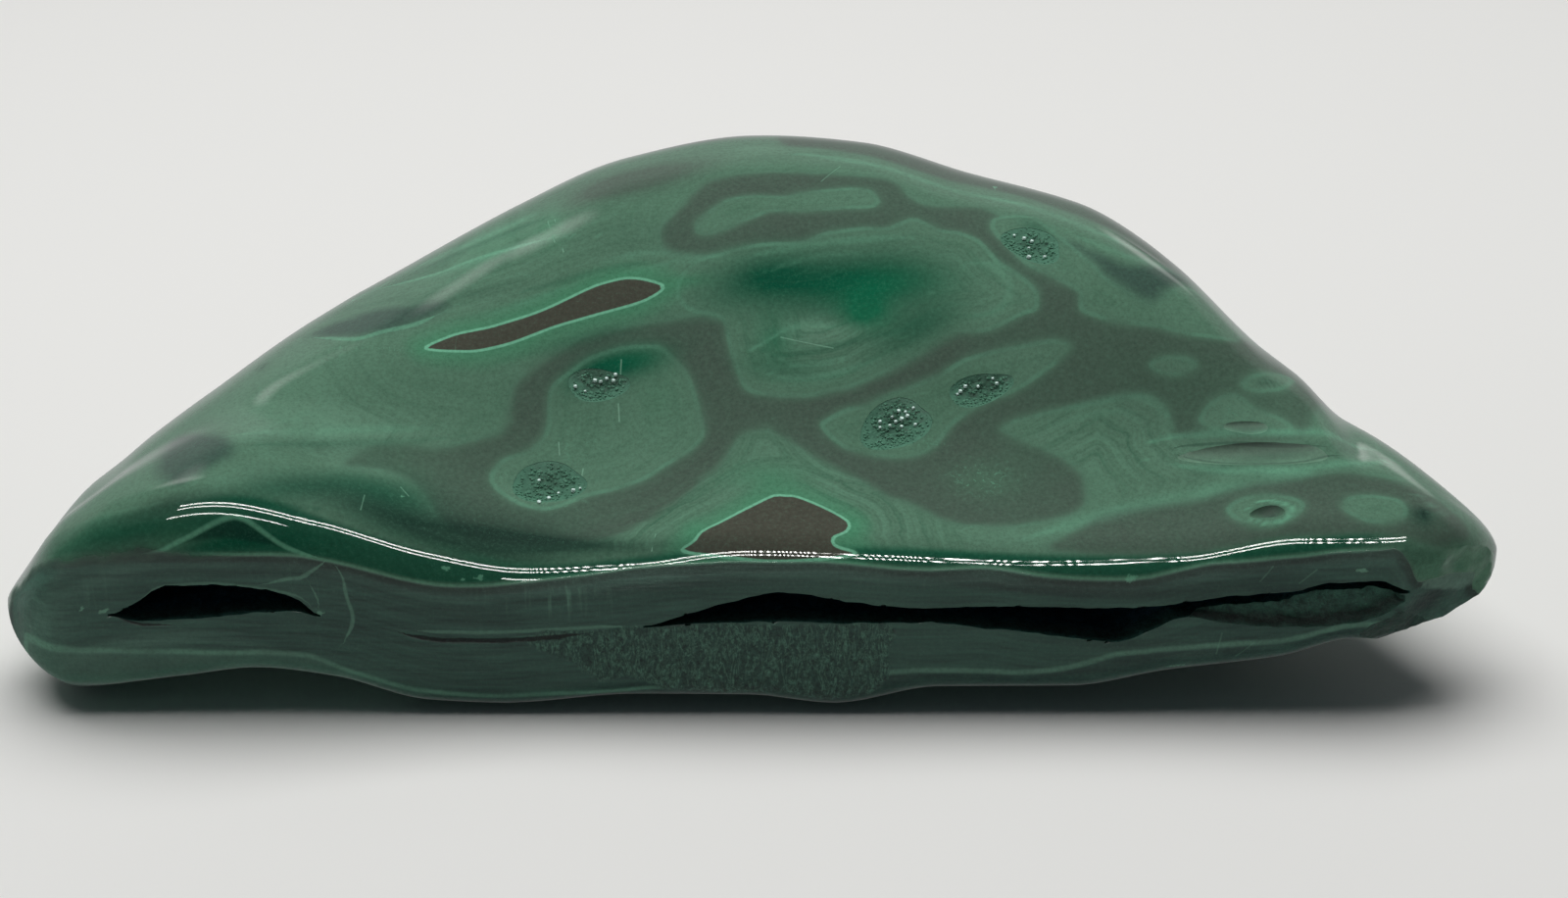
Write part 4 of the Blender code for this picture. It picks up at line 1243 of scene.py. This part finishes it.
    # Wear: scratches, flecks and fine dust
    scratches = None
    for start, end in SCRATCHES:
        mark = finish.scratch(place, skin.under(start)[0], skin.under(end)[0], 0.13)
        scratches = mark if scratches is None else scratches.most(mark)
    flecks = (read("fleck") + grain * 1.2).step(0.40, 0.62)
    colour = mix((scratches * 0.24).most(flecks * 0.6), colour, pale)
    dust = noise(place, 5.5, 2.0, 0.7)
    colour = mix((grain * 0.7 + dust * 0.6 + 0.08).clip(0.5), colour, DUST_DARK)
    colour = mix((dust * 0.30 - grain * 0.25).clip(0.3), colour, pale)

    face_rough = grain * 0.2 + sawn.step(-2.5, -0.3) * 0.28 + settings.sawn_roughness
    rough = finish.add("ShaderNodeMix", {"data_type": "FLOAT"}, {0: on_face, 2: polish, 3: face_rough})
    wavy = finish.bump(noise(place, 0.10, 1.0), 0.10)
    relief = (layers * 0.12 + streaks * 0.9 + grain * 0.8 - crack * 0.5 + chips * rough_patch * 7.0) * on_face
    return finish.done({
        "Base Color": colour, "Roughness": rough.most(scratches * 0.4), "IOR": POLISH_IOR,
        "Normal": finish.bump(relief, 0.10, wavy),
    })


def darker(tint, share):
    """A colour at a share of its brightness."""
    return tuple(share * c for c in tint)


def broken_finish(name, settings, tint, roughness, sheen=0.5, mouth=None):
    """Rough broken or natural malachite. Mouth is the lighter colour of a slit's walls near the sawn face;
    deeper in, the slit's bluish tint is painted shade.
    """
    finish = Finish(name)
    place = finish.place()
    lumps = finish.noise(place, 0.8, 5.0, 0.7)
    fine = finish.noise(place, 3.5, 3.0, 0.7)
    flecks = finish.noise(place, 2.6, 2.0, 0.8, 1.5).step(0.12, 0.22)
    tone = (lumps * 2.2 + fine + 0.45).clip()
    colour = finish.mix(tone, darker(tint, 0.30), tint)
    colour = finish.mix(flecks * 0.30 * (2.0 * sheen), colour, settings.pale_green)
    if mouth:
        depth = finish.add("ShaderNodeSeparateXYZ", None, (place,), "Y") - FACE_Y
        near_face = (depth + lumps * 2.0).step(3.6, 0.6)
        colour = finish.mix(near_face, colour, finish.mix(tone, darker(mouth, 0.30), mouth))
    return finish.done({
        "Base Color": colour, "Roughness": roughness + fine * 0.3, "IOR": CRYSTAL_IOR,
        "Specular IOR Level": sheen, "Normal": finish.bump(lumps + fine * 0.5, 0.5),
    })


def crystal_finish(name, tint, roughness, sheen):
    """Small clear-faced crystals."""
    finish = Finish(name)
    place = finish.place()
    tone = (finish.noise(place, 1.6, 3.0) * 1.6 + 0.85 - finish.read("inward") * 0.8).clip()
    return finish.done({
        "Base Color": finish.mix(tone, darker(tint, 0.58), tint),
        "Roughness": roughness + finish.noise(place, 4.0) * 0.2,
        "IOR": CRYSTAL_IOR, "Specular IOR Level": sheen,
    })


def add_object(name, mesh, finishes=(), slot=None):
    """Turn a finished bmesh into a named object, with every face on one slot if it is given."""
    if slot is not None:
        for face in mesh.faces:
            face.material_index = slot
    data = bpy.data.meshes.new(name)
    mesh.to_mesh(data)
    mesh.free()
    for finish in finishes:
        data.materials.append(finish)
    made = bpy.data.objects.new(name, data)
    bpy.context.scene.collection.objects.link(made)
    return made


def outer_keys(columns, rows):
    """The (column, row) places round the edge of a grid, in order."""
    around = [(i, 0) for i in range(columns)] + [(columns, j) for j in range(rows)]
    return around + [(i, rows) for i in range(columns, 0, -1)] + [(0, j) for j in range(rows, 0, -1)]


def fill_grid(mesh, verts, columns, rows):
    """Faces over a grid of points that are kept by (column, row)."""
    for i in range(columns):
        for j in range(rows):
            mesh.faces.new((verts[i, j], verts[i + 1, j], verts[i + 1, j + 1], verts[i, j + 1]))


def join_loops(mesh, first, second):
    """A band of faces between two closed loops of points."""
    for k, vert in enumerate(first):
        n = (k + 1) % len(first)
        mesh.faces.new((vert, first[n], second[n], second[k]))


def ragged_cutter(name, outline, depth, narrowing, slot, ragged, step=0.7, layer=0.9, rows=6):
    """A solid with rough walls and a rough inner end that cuts a slit or a break into the sawn face."""
    first, last = outline[0][0], outline[-1][0]
    count = max(4, round((last - first) / step))
    xs = [first + (last - first) * i / count for i in range(count + 1)]
    lips = [(along(outline, x, 1), along(outline, x, 2)) for x in xs]
    middle = 0.5 * (first + last)
    layers = max(1, round(depth / layer))
    mesh = bmesh.new()

    def corner(i, j, share):
        low, high = lips[i]
        level = 0.5 * (low + high)
        z = low + (high - low) * j / rows
        narrow = 1.0 - (1.0 - narrowing) * max(share, 0.0)
        shift = (xs[i] - middle) * (1.0 - SLIT_END_TAPER * (1.0 - narrow))
        y = FACE_Y + depth * share if share >= 0.0 else FACE_Y - SLIT_MOUTH
        spot = Vector((middle + shift, y, level + (z - level) * narrow))
        if share >= 0.0:
            room = min(1.0, (high - low) / RAGGED_GAP)
            coarse = noise.noise_vector(spot * 0.55) * ragged
            fine = noise.noise_vector(spot * 1.9) * ragged * 0.4
            spot += (coarse + fine) * room * (0.30 + 0.70 * share)
        return mesh.verts.new(spot * MM)

    keys = outer_keys(count, rows)
    loops = []
    for share in (-1.0, 1.0):
        sheet = {(i, j): corner(i, j, share) for i in range(count + 1) for j in range(rows + 1)}
        fill_grid(mesh, sheet, count, rows)
        loops.append([sheet[key] for key in keys])
    loops[1:1] = [[corner(*key, k / layers) for key in keys] for k in range(layers)]
    for before, after in zip(loops, loops[1:]):
        join_loops(mesh, before, after)
    bmesh.ops.recalc_face_normals(mesh, faces=mesh.faces)
    return add_object(name, mesh, slot=slot)


def chip_cutter(name, point, facing, half, slot):
    """A block with one rough side that breaks a flat chip off an end."""
    outward = Vector(facing).normalized()
    side = outward.orthogonal().normalized()
    across = outward.cross(side)
    count = round(2.0 * half / CHIP_STEP)
    mesh = bmesh.new()
    grid = {}
    for i in range(count + 1):
        for j in range(count + 1):
            u, v = half * (2.0 * i / count - 1.0), half * (2.0 * j / count - 1.0)
            spot = Vector(point) + side * u + across * v
            rough = sum(noise.noise(spot * scale) * height for scale, height in CHIP_ROUGHNESS)
            grid[i, j] = mesh.verts.new((spot + outward * (rough + CHIP_LIFT)) * MM)
    fill_grid(mesh, grid, count, count)
    edge = [grid[key] for key in outer_keys(count, count)]
    far = [mesh.verts.new(vert.co + outward * half * MM) for vert in edge]
    join_loops(mesh, edge, far)
    mesh.faces.new(far)
    bmesh.ops.recalc_face_normals(mesh, faces=mesh.faces)
    return add_object(name, mesh, slot=slot)


def surface_frame(skin, x, y, turn):
    """Where a vertical line at (x, y) meets the top, as a matrix in metres.

    Its axes are the long side, the short side and outward.
    """
    place, outward, _, _ = skin.tree.ray_cast(Vector((x, y, 2.0 * HALF_LENGTH)), Vector((0.0, 0.0, -1.0)))
    if outward.z < 0.0:
        outward = -outward
    angle = math.radians(turn)
    side = Vector((math.cos(angle), math.sin(angle), 0.0))
    side = (side - outward * side.dot(outward)).normalized()
    across = outward.cross(side)
    found = Matrix((side, across, outward)).transposed().to_4x4()
    found.translation = place * MM
    return found


def outline_wave(angle, size):
    """How far an uneven hollow's outline swings in or out of an ellipse at this angle."""
    return 1.0 + 0.10 * math.sin(2.0 * angle + size) + 0.07 * math.sin(3.0 * angle + 2.3 * size)


def hollow_radii(long_half, short_half, depth):
    """Centre height and half sizes of the ellipsoid whose lower part makes a hollow."""
    rise = HOLLOW_RISE * depth
    high = depth + rise
    spread = 1.0 / math.sqrt(1.0 - (rise / high) ** 2)
    return rise, (long_half * spread, short_half * spread, high)


def hollow_cutter(name, matrix, long_half, short_half, depth, slot):
    """An ellipsoid laid over the top so that it scoops out one hollow."""
    rise, radii = hollow_radii(long_half, short_half, depth)
    mesh = bmesh.new()
    bmesh.ops.create_uvsphere(mesh, u_segments=CRUST_SPOKES, v_segments=HOLLOW_BANDS, radius=1.0)
    for vert in mesh.verts:
        uneven = outline_wave(math.atan2(vert.co.y, vert.co.x), long_half)
        x, y, z = (part * radius for part, radius in zip(vert.co, radii))
        vert.co = Vector((x * uneven, y * uneven, z + rise)) * MM
    bmesh.ops.transform(mesh, matrix=matrix, verts=mesh.verts)
    return add_object(name, mesh, slot=slot)


def cut_all(target, cutters):
    """Take every cutter's space out of the target and delete the cutters."""
    group = bpy.data.collections.new("cutters")
    bpy.context.scene.collection.children.link(group)
    for cutter in cutters:
        bpy.context.scene.collection.objects.unlink(cutter)
        group.objects.link(cutter)
    boolean = target.modifiers.new("cut", "BOOLEAN")
    boolean.operation = "DIFFERENCE"
    boolean.solver = "EXACT"
    boolean.operand_type = "COLLECTION"
    boolean.collection = group
    seen = target.evaluated_get(bpy.context.evaluated_depsgraph_get())
    done = bpy.data.meshes.new_from_object(seen)
    target.modifiers.clear()
    target.data = done
    for cutter in cutters:
        bpy.data.objects.remove(cutter)
    bpy.data.collections.remove(group)


def keep_numbers(data, name, values):
    """Keep one number for each point of a mesh under a name."""
    layer = data.attributes.new(name, "FLOAT", "POINT")
    layer.data.foreach_set("value", np.asarray(values, np.float32))


def read_spots(data):
    """The places of a mesh's points, one on each row."""
    spots = np.empty(len(data.vertices) * 3)
    data.vertices.foreach_get("co", spots)
    return spots.reshape(-1, 3)


def mark_stone(data, skin):
    """Work out where each point of the stone lies in the markings, and keep that on the mesh."""
    places = np.array([skin.nearest(spot) for spot in read_spots(data) / MM])

    def nearest_loop(shapes):
        paths = [smooth_path(skin.mapped(shape), True) for shape in shapes]
        return np.minimum.reduce([loop_distance(places, path) for path in paths])

    hidden = hidden_lobes(places)
    lobe = np.minimum(nearest_loop(LOBES.values()), hidden)
    dark = np.minimum(nearest_loop(DARK_SHAPES.values()), hidden - HIDDEN_BAND)
    brown = nearest_loop(BROWN_SHAPES.values())
    keep_numbers(data, "lobe", lobe)
    keep_numbers(data, "dark", np.maximum(dark, -lobe))
    keep_numbers(data, "brown", brown)
    keep_numbers(data, "field", np.minimum(np.abs(lobe), np.abs(brown)))
    keep_numbers(data, "soft_dark", nearest_loop(SOFT_SHAPES.values()))
    for name, shape in FACE_SHAPES.items():
        keep_numbers(data, name, nearest_loop([shape]))
    for name, patches in PATCHES.items():
        keep_numbers(data, name, np.clip(patch_sum(places, skin, patches), 0.0, 1.0))

    def offset(pixels, taper):
        return line_offset(places, smooth_path(skin.mapped(pixels), False), taper)

    keep_numbers(data, "flow_and_sheen", sum(strength * np.exp(-(offset(line, FLOW_TAPER) / half) ** 2)
                                   for strength, half, line in FLOW_AND_SHEEN_LINES))
    for name, line in (*LINES.items(), ("peak_line", FACE_SHAPES["peak"])):
        keep_numbers(data, name, offset(line, LINE_TAPER))
    for name, edge in EDGES.items():
        line = smooth_path(skin.mapped(edge), False)
        floor = [(line[-1][0] + EDGE_OVERHANG, FACE_FLOOR), (line[0][0] - EDGE_OVERHANG, FACE_FLOOR)]
        keep_numbers(data, name, loop_distance(places, np.vstack([line, floor])))


def hold_in_box(data, box):
    """Move any point that stands a hair outside the solid's box back onto it."""
    spots = np.clip(read_spots(data), np.array(box[0]), np.array(box[1]))
    data.vertices.foreach_set("co", spots.ravel())


class MALACHITE_OT_stone(bpy.types.Operator):
    """Build the stone: smooth skin, slits, breaks, hollows and markings"""
    bl_idname = "malachite.stone"
    bl_label = "Build Stone"

    def execute(self, context):
        settings = context.scene.malachite_stone
        skin = shared_skin()
        data = bpy.data.meshes.new("stone")
        data.from_pydata([tuple(c * MM for c in point) for point in skin.points], [], skin.faces)
        stone = bpy.data.objects.new("stone", data)
        context.scene.collection.objects.link(stone)
        mesh = bmesh.new()
        mesh.from_mesh(data)
        bmesh.ops.recalc_face_normals(mesh, faces=mesh.faces)
        mesh.to_mesh(data)
        mesh.free()
        for finish in (
            polished_finish("polished_malachite", settings.polish, settings, skin),
            broken_finish("broken_malachite", settings, tuple(settings.broken_green), 0.62),
            # Slits: lighter green near the mouth and a bluish painted shade deeper in
            broken_finish("slit_malachite", settings, SLIT_PAINTED_SHADE_TINT, 0.95, 0.05, SLIT_MOUTH_TINT),
            broken_finish("hollow_malachite", settings, HOLLOW_TINT, 0.4),
            # Painted shade: a darker copy of the broken finish for the chips that face the floor
            broken_finish("painted_shade_break", settings, PAINTED_SHADE_BREAK_TINT, 0.5),
            polished_finish("polished_hollow", HOLLOW_POLISH, settings, skin),
        ):
            data.materials.append(finish)

        cut_all(stone, [ragged_cutter(name, outline, SLIT_DEPTH, SLIT_NARROWING, SLIT, 0.55)
                        for name, outline in (("long_slit", LONG_SLIT), ("short_slit", SHORT_SLIT))])
        breaks = [ragged_cutter("broken_shelf", BROKEN_SHELF, SHELF_DEPTH, SHELF_NARROWING, BROKEN, 0.5,
                                step=0.5, layer=0.5, rows=8)]
        breaks += [chip_cutter(f"chip_{number}", *chip) for number, chip in enumerate(CHIPS)]
        cut_all(stone, breaks)
        hollows = [(name + "_hollow", HOLLOW, *sizes) for name, *sizes in DRUSE_HOLLOWS]
        hollows += [(name, POLISHED_HOLLOW, *sizes) for name, *sizes in PLAIN_HOLLOWS]
        cut_all(stone, [hollow_cutter(name, surface_frame(skin, x, y, turn), *sizes, slot)
                        for name, slot, x, y, *sizes, turn in hollows])

        hold_in_box(stone.data, CAD_BOX)
        mark_stone(stone.data, skin)
        stone.data.shade_smooth()
        stone.data.set_sharp_from_angle(angle=math.radians(SHARP_ANGLE))
        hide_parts("malachite_stone")
        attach(stone, "root")
        return {"FINISHED"}


def crystal_tree(finish):
    """Geometry nodes that grow small pointed crystals all over a crust."""
    tree = bpy.data.node_groups.new("crystal_growth", "GeometryNodeTree")
    for name, kind in (("Geometry", "Geometry"), ("Density", "Float"), ("Width", "Float"),
                       ("Length", "Float"), ("Seed", "Int")):
        tree.interface.new_socket(name, in_out="INPUT", socket_type="NodeSocket" + kind)
    tree.interface.new_socket("Geometry", in_out="OUTPUT", socket_type="NodeSocketGeometry")
    grow = Nodes(tree)
    inputs = grow.add("NodeGroupInput", output=None).outputs
    given = {name: Wire(grow, socket) for name, socket in inputs.items()}
    crust, length, seed = given["Geometry"], given["Length"], given["Seed"]

    def join(*parts):
        made = grow.add("GeometryNodeJoinGeometry", output=None)
        for part in parts:
            grow.feed(made.inputs[0], part)
        return Wire(grow, made.outputs[0])

    def kept(name):
        return grow.add("GeometryNodeInputNamedAttribute", {"data_type": "FLOAT"}, {"Name": name})

    half_width = given["Width"] * 0.5
    shaft = grow.add("GeometryNodeMeshCylinder", None,
                     {"Vertices": CRYSTAL_SIDES, "Radius": half_width, "Depth": length}, "Mesh")
    point = grow.add("GeometryNodeMeshCone", None,
                     {"Vertices": CRYSTAL_SIDES, "Radius Top": 0.0, "Radius Bottom": half_width,
                      "Depth": length * CRYSTAL_POINT}, "Mesh")
    lift = grow.add("ShaderNodeCombineXYZ", None, {"Z": length * 0.5})
    point = grow.add("GeometryNodeTransform", None, {"Geometry": point, "Translation": lift})
    crystal = join(shaft, point)

    spread = grow.add("GeometryNodeDistributePointsOnFaces", None,
                      {"Mesh": crust, "Selection": kept("bed"), "Density": given["Density"], "Seed": seed},
                      None)
    lean = grow.add("FunctionNodeRandomValue", {"data_type": "FLOAT_VECTOR"},
                    {0: (-CRYSTAL_LEAN, -CRYSTAL_LEAN, 0.0), 1: (CRYSTAL_LEAN, CRYSTAL_LEAN, CRYSTAL_TURN),
                     "Seed": seed})
    turn = grow.add("FunctionNodeRotateRotation", {"rotation_space": "LOCAL"},
                    (Wire(grow, spread.outputs["Rotation"]), lean))
    size = grow.add("FunctionNodeRandomValue", {"data_type": "FLOAT"},
                    {2: CRYSTAL_SMALLEST, 3: CRYSTAL_LARGEST, "Seed": seed}, 1)
    taper = grow.add("ShaderNodeMapRange", None, (kept("inward"), 0.0, 0.35, 0.45, 1.0))
    placed = grow.add("GeometryNodeInstanceOnPoints", None,
                      {"Points": Wire(grow, spread.outputs["Points"]), "Instance": crystal, "Rotation": turn,
                       "Scale": size * taper})
    real = grow.add("GeometryNodeRealizeInstances", None, (placed,))
    coated = grow.add("GeometryNodeSetMaterial", None, {"Geometry": real, "Material": finish})
    grow.add("NodeGroupOutput", None, (join(coated, crust),), None)
    return tree


def crust_base(name, skin, matrix, long_half, short_half, depth, finishes):
    """The bed of one hollow's crystals: a shallow lumpy cup, level with the stone at its edge."""
    rise, radii = hollow_radii(long_half, short_half, depth)
    a, b, c = (r - CRUST_GAP for r in radii)
    outward = (matrix.to_3x3() @ Vector((0.0, 0.0, 1.0))).normalized()
    mesh = bmesh.new()

    def skin_height(u, v):
        start = matrix @ Vector((u * MM, v * MM, 0.0)) / MM + outward * RAY_START
        found = skin.tree.ray_cast(start, -outward)[0]
        return (found - start).dot(outward) + RAY_START

    def edge_reach(angle):
        """How far out the hollow meets the skin on this side, as a share of its half sizes."""
        share = math.sqrt(1.0 - (rise / c) ** 2)
        for _ in range(3):
            away = share * outline_wave(angle, long_half)
            height = skin_height(a * away * math.cos(angle), b * away * math.sin(angle))
            share = math.sqrt(1.0 - ((rise - height) / c) ** 2)
        return share

    angles = [2.0 * math.pi * spoke / CRUST_SPOKES for spoke in range(CRUST_SPOKES)]
    brims = [edge_reach(angle) for angle in angles]
    shares = []

    def level(share, spoke, top):
        shares.append(share)
        angle = angles[spoke]
        bed = rise - c * math.sqrt(1.0 - (share * brims[spoke]) ** 2)
        reach = brims[spoke] * share * outline_wave(angle, long_half)
        u, v = a * reach * math.cos(angle), b * reach * math.sin(angle)
        lumps = noise.noise(Vector((u, v, long_half)) * 1.6)
        cup = skin_height(u, v) - CRUST_EDGE - (CRUST_DISH - CRUST_LUMPS * lumps) * (1.0 - share ** 2)
        bed = cup if top else min(bed, cup - CRUST_EDGE)
        return mesh.verts.new(Vector((u, v, bed)) * MM)

    sides = []
    for top in (False, True):
        middle = level(0.0, 0, top)
        rings = [[level(ring / CRUST_RINGS, spoke, top) for spoke in range(CRUST_SPOKES)]
                 for ring in range(1, CRUST_RINGS + 1)]
        for s in range(CRUST_SPOKES):
            n = (s + 1) % CRUST_SPOKES
            mesh.faces.new((middle, rings[0][s], rings[0][n]))
            for inner, outer in zip(rings, rings[1:]):
                mesh.faces.new((inner[s], outer[s], outer[n], inner[n]))
        sides.append(rings[-1])
    join_loops(mesh, *sides)
    bmesh.ops.recalc_face_normals(mesh, faces=mesh.faces)
    bed = mesh.verts.layers.float.new("bed")
    inward = mesh.verts.layers.float.new("inward")
    for number, (vert, share) in enumerate(zip(mesh.verts, shares)):
        vert[inward] = 1.0 - share
        vert[bed] = 1.0 if 2 * number >= len(shares) and vert[inward] > CRYSTAL_EDGE else 0.0
    bmesh.ops.transform(mesh, matrix=matrix, verts=mesh.verts)
    return add_object(name, mesh, finishes)


class MALACHITE_OT_crystals(bpy.types.Operator):
    """Line the five hollows with small crystals"""
    bl_idname = "malachite.crystals"
    bl_label = "Grow Crystals"

    def execute(self, context):
        settings = context.scene.malachite_crystals
        skin = shared_skin()
        bed = crystal_finish("crystal_bed", darker(settings.colour, 0.80), 0.45, 0.2)
        green = crystal_finish("green_crystals", tuple(settings.colour), 0.42, 0.25)
        # Near-white crystals at the glints, a painted highlight
        bright = crystal_finish("bright_crystals", tuple(settings.sparkle), 0.30, 0.5)
        tree = crystal_tree(green)
        values = {"Density": settings.per_square_metre, "Width": settings.width, "Length": settings.length,
                  "Seed": settings.seed}
        for name, x, y, *sizes, turn in DRUSE_HOLLOWS:
            matrix = surface_frame(skin, x, y, turn)
            crust = crust_base("crystals_" + name[6:], skin, matrix, *sizes, (bed, bright))
            growth = crust.modifiers.new("growth", "NODES")
            growth.node_group = tree
            for item in tree.interface.items_tree:
                if item.in_out == "INPUT" and item.name in values:
                    growth[item.identifier] = values[item.name]
            seen = crust.evaluated_get(context.evaluated_depsgraph_get())
            grown = bpy.data.meshes.new_from_object(seen)
            crust.modifiers.clear()
            crust.data = grown
            self.add_sparkles(crust, SPARKLES[name], settings.width / MM, bright)
            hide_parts(name)
            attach(crust, "root")
        return {"FINISHED"}

    def add_sparkles(self, crust, pixels, width, finish):
        """Set a few larger pale crystals at the glints, a painted highlight on top of their own sheen."""
        if finish.name not in crust.data.materials:
            crust.data.materials.append(finish)
        slot = crust.data.materials.find(finish.name)
        mesh = bmesh.new()
        mesh.from_mesh(crust.data)
        grown = BVHTree.FromBMesh(mesh)
        for number, pixel in enumerate(pixels):
            start, way = camera_line(*pixel)
            found = grown.ray_cast(start * MM, way)[0]
            if found is None:
                continue
            tilt = noise.noise_vector(Vector((number * 3.7, pixel[0] * 0.37, pixel[1] * 0.53)))
            size = width * (SPARKLE_SIZE + SPARKLE_SPREAD * tilt.x)
            before = set(mesh.verts)
            bmesh.ops.create_cone(mesh, cap_ends=True, segments=CRYSTAL_SIDES, radius1=size * MM,
                                  radius2=SPARKLE_TAPER * size * MM, depth=size * MM)
            fresh = [vert for vert in mesh.verts if vert not in before]
            axis = (Vector(SPARKLE_FACING) + tilt * SPARKLE_TILT).normalized()
            turn = axis.to_track_quat("Z", "Y").to_matrix().to_4x4()
            turn.translation = (found / MM - way * SPARKLE_LIFT * size) * MM
            bmesh.ops.transform(mesh, matrix=turn, verts=fresh)
            for face in {face for vert in fresh for face in vert.link_faces}:
                face.material_index = slot
        mesh.to_mesh(crust.data)
        mesh.free()


def stage_finish(settings):
    """Plain pale floor."""
    finish = Finish("pale_floor")
    tone = (finish.noise(finish.place(), 0.01, 3.0) * 0.4 + 0.5).clip()
    colour = finish.mix(tone, darker(settings.floor_colour, 0.97), tuple(settings.floor_colour))
    return finish.done({"Base Color": colour, "Roughness": 0.55, "Specular IOR Level": 0.2})


def lamp_finish(strength):
    """White lamps of the rows in front."""
    return Finish("white_lamps").done({
        "Base Color": (0.0, 0.0, 0.0), "Emission Color": LAMP_COLOUR, "Emission Strength": strength,
    })


def row_of_lamps(name, elevation, left, right, half_high, finish):
    """A row of small flat lamps along X that face the stone's front rim."""
    rise = math.radians(elevation)
    aim = Vector((0.0, FACE_Y, LAMP_AIM_HEIGHT))
    back = Vector((0.0, -math.cos(rise), math.sin(rise)))
    up = Vector((0.0, math.sin(rise), math.cos(rise)))
    mesh = bmesh.new()
    for i in range(round((right - left) / LAMP_GAP) + 1):
        centre = aim + back * LAMP_DISTANCE + Vector((left + LAMP_GAP * i, 0.0, 0.0))
        corners = []
        for across, above in ((-1, -1), (1, -1), (1, 1), (-1, 1)):
            spot = centre + Vector((across * LAMP_HALF_WIDTH, 0.0, 0.0)) + up * (above * half_high)
            corners.append(mesh.verts.new(spot * MM))
        mesh.faces.new(corners)
    row = add_object(name, mesh, (finish,))
    row.visible_camera = False
    row.visible_diffuse = False
    row.visible_shadow = False


class MALACHITE_OT_stage(bpy.types.Operator):
    """Set up the pale floor, the lights, the room and the camera"""
    bl_idname = "malachite.stage"
    bl_label = "Set Stage"

    def execute(self, context):
        settings = context.scene.malachite_stage
        scene = context.scene
        mesh = bmesh.new()
        bmesh.ops.create_grid(mesh, x_segments=1, y_segments=1, size=FLOOR_SIZE * MM)
        floor = add_object("floor", mesh, (stage_finish(settings),))
        floor.visible_glossy = False

        lamps = lamp_finish(settings.strip_light)
        for row in LAMP_ROWS:
            row_of_lamps(*row, lamps)

        self.add_top_lamp(scene, settings.top_light)
        self.make_world(scene)
        self.add_camera(scene, settings)
        scene.view_settings.view_transform = "Standard"
        return {"FINISHED"}

    def add_top_lamp(self, scene, power):
        """One large soft lamp above and behind, which the polish doesn't mirror."""
        lamp = bpy.data.lights.new("top_lamp", "AREA")
        lamp.shape = "RECTANGLE"
        lamp.size, lamp.size_y = TOP_LAMP_SIZE
        lamp.energy = power
        made = bpy.data.objects.new("top_lamp", lamp)
        made.location = TOP_LAMP_PLACE
        way = Vector(TOP_LAMP_AIM) - Vector(TOP_LAMP_PLACE)
        made.rotation_euler = way.to_track_quat("-Z", "Y").to_euler()
        made.visible_glossy = False
        scene.collection.objects.link(made)

    def make_world(self, scene):
        """A dim bluish room, paler low down behind, with two soft windows. It is darkest in front."""
        world = bpy.data.worlds.new("soft_box")
        world.use_nodes = True
        scene.world = world
        world.node_tree.nodes.clear()
        room = Nodes(world.node_tree)
        way = room.add("ShaderNodeTexCoord", output="Generated")
        behind = room.add("ShaderNodeSeparateXYZ", None, (way,), "Y")
        above = room.add("ShaderNodeSeparateXYZ", None, (way,), "Z")
        strength = behind.step(*ROOM_BEHIND) * above.step(*ROOM_HIGH) * above.step(*ROOM_LOW)
        for centre, start, end, bright in WINDOWS:
            gap = room.add("ShaderNodeVectorMath", {"operation": "DISTANCE"}, (way, centre), "Value")
            strength = strength + gap.step(start, end, bright, 0.0)
        white = room.add("ShaderNodeBackground", None, {"Color": WINDOW_COLOUR, "Strength": strength})
        bluish = room.add("ShaderNodeBackground", None, {"Color": ROOM_COLOUR, "Strength": ROOM_LIGHT})
        both = room.add("ShaderNodeAddShader", None, (white, bluish))
        room.add("ShaderNodeOutputWorld", None, (both,), None)

    def add_camera(self, scene, settings):
        """The camera of the photograph."""
        start, _ = camera_line(0.5 * PICTURE_WIDTH, 0.5 * PICTURE_HEIGHT)
        data = bpy.data.cameras.new("camera")
        data.lens = settings.lens
        data.sensor_width = SENSOR_WIDTH
        data.clip_start, data.clip_end = CAMERA_NEAR * MM, CAMERA_FAR * MM
        camera = bpy.data.objects.new("camera", data)
        camera.location = start * MM
        camera.rotation_euler = (math.radians(90.0 - CAMERA_ELEVATION), 0.0, 0.0)
        scene.collection.objects.link(camera)
        scene.camera = camera


class MALACHITE_PT_sidebar(bpy.types.Panel):
    """Lists the build steps and their settings"""
    bl_idname = "MALACHITE_PT_sidebar"
    bl_label = "Malachite Freeform"
    bl_space_type = "VIEW_3D"
    bl_region_type = "UI"
    bl_category = "Malachite"

    def draw(self, context):
        for operator, group in (("malachite.stone", context.scene.malachite_stone),
                                ("malachite.crystals", context.scene.malachite_crystals),
                                ("malachite.stage", context.scene.malachite_stage)):
            box = self.layout.box()
            box.operator(operator)
            for name in group.bl_rna.properties.keys():
                if name not in ("rna_type", "name"):
                    box.prop(group, name)


CLASSES = (StoneSettings, CrystalSettings, StageSettings, MALACHITE_OT_stone, MALACHITE_OT_crystals,
           MALACHITE_OT_stage, MALACHITE_PT_sidebar)


def register():
    for made in CLASSES:
        bpy.utils.register_class(made)
    bpy.types.Scene.malachite_stone = PointerProperty(type=StoneSettings)
    bpy.types.Scene.malachite_crystals = PointerProperty(type=CrystalSettings)
    bpy.types.Scene.malachite_stage = PointerProperty(type=StageSettings)


def unregister():
    del bpy.types.Scene.malachite_stone, bpy.types.Scene.malachite_crystals, bpy.types.Scene.malachite_stage
    for made in reversed(CLASSES):
        bpy.utils.unregister_class(made)


def main():
    register()
    bpy.ops.malachite.stage()
    bpy.ops.malachite.stone()
    bpy.ops.malachite.crystals()


if __name__ == "__main__":
    main()
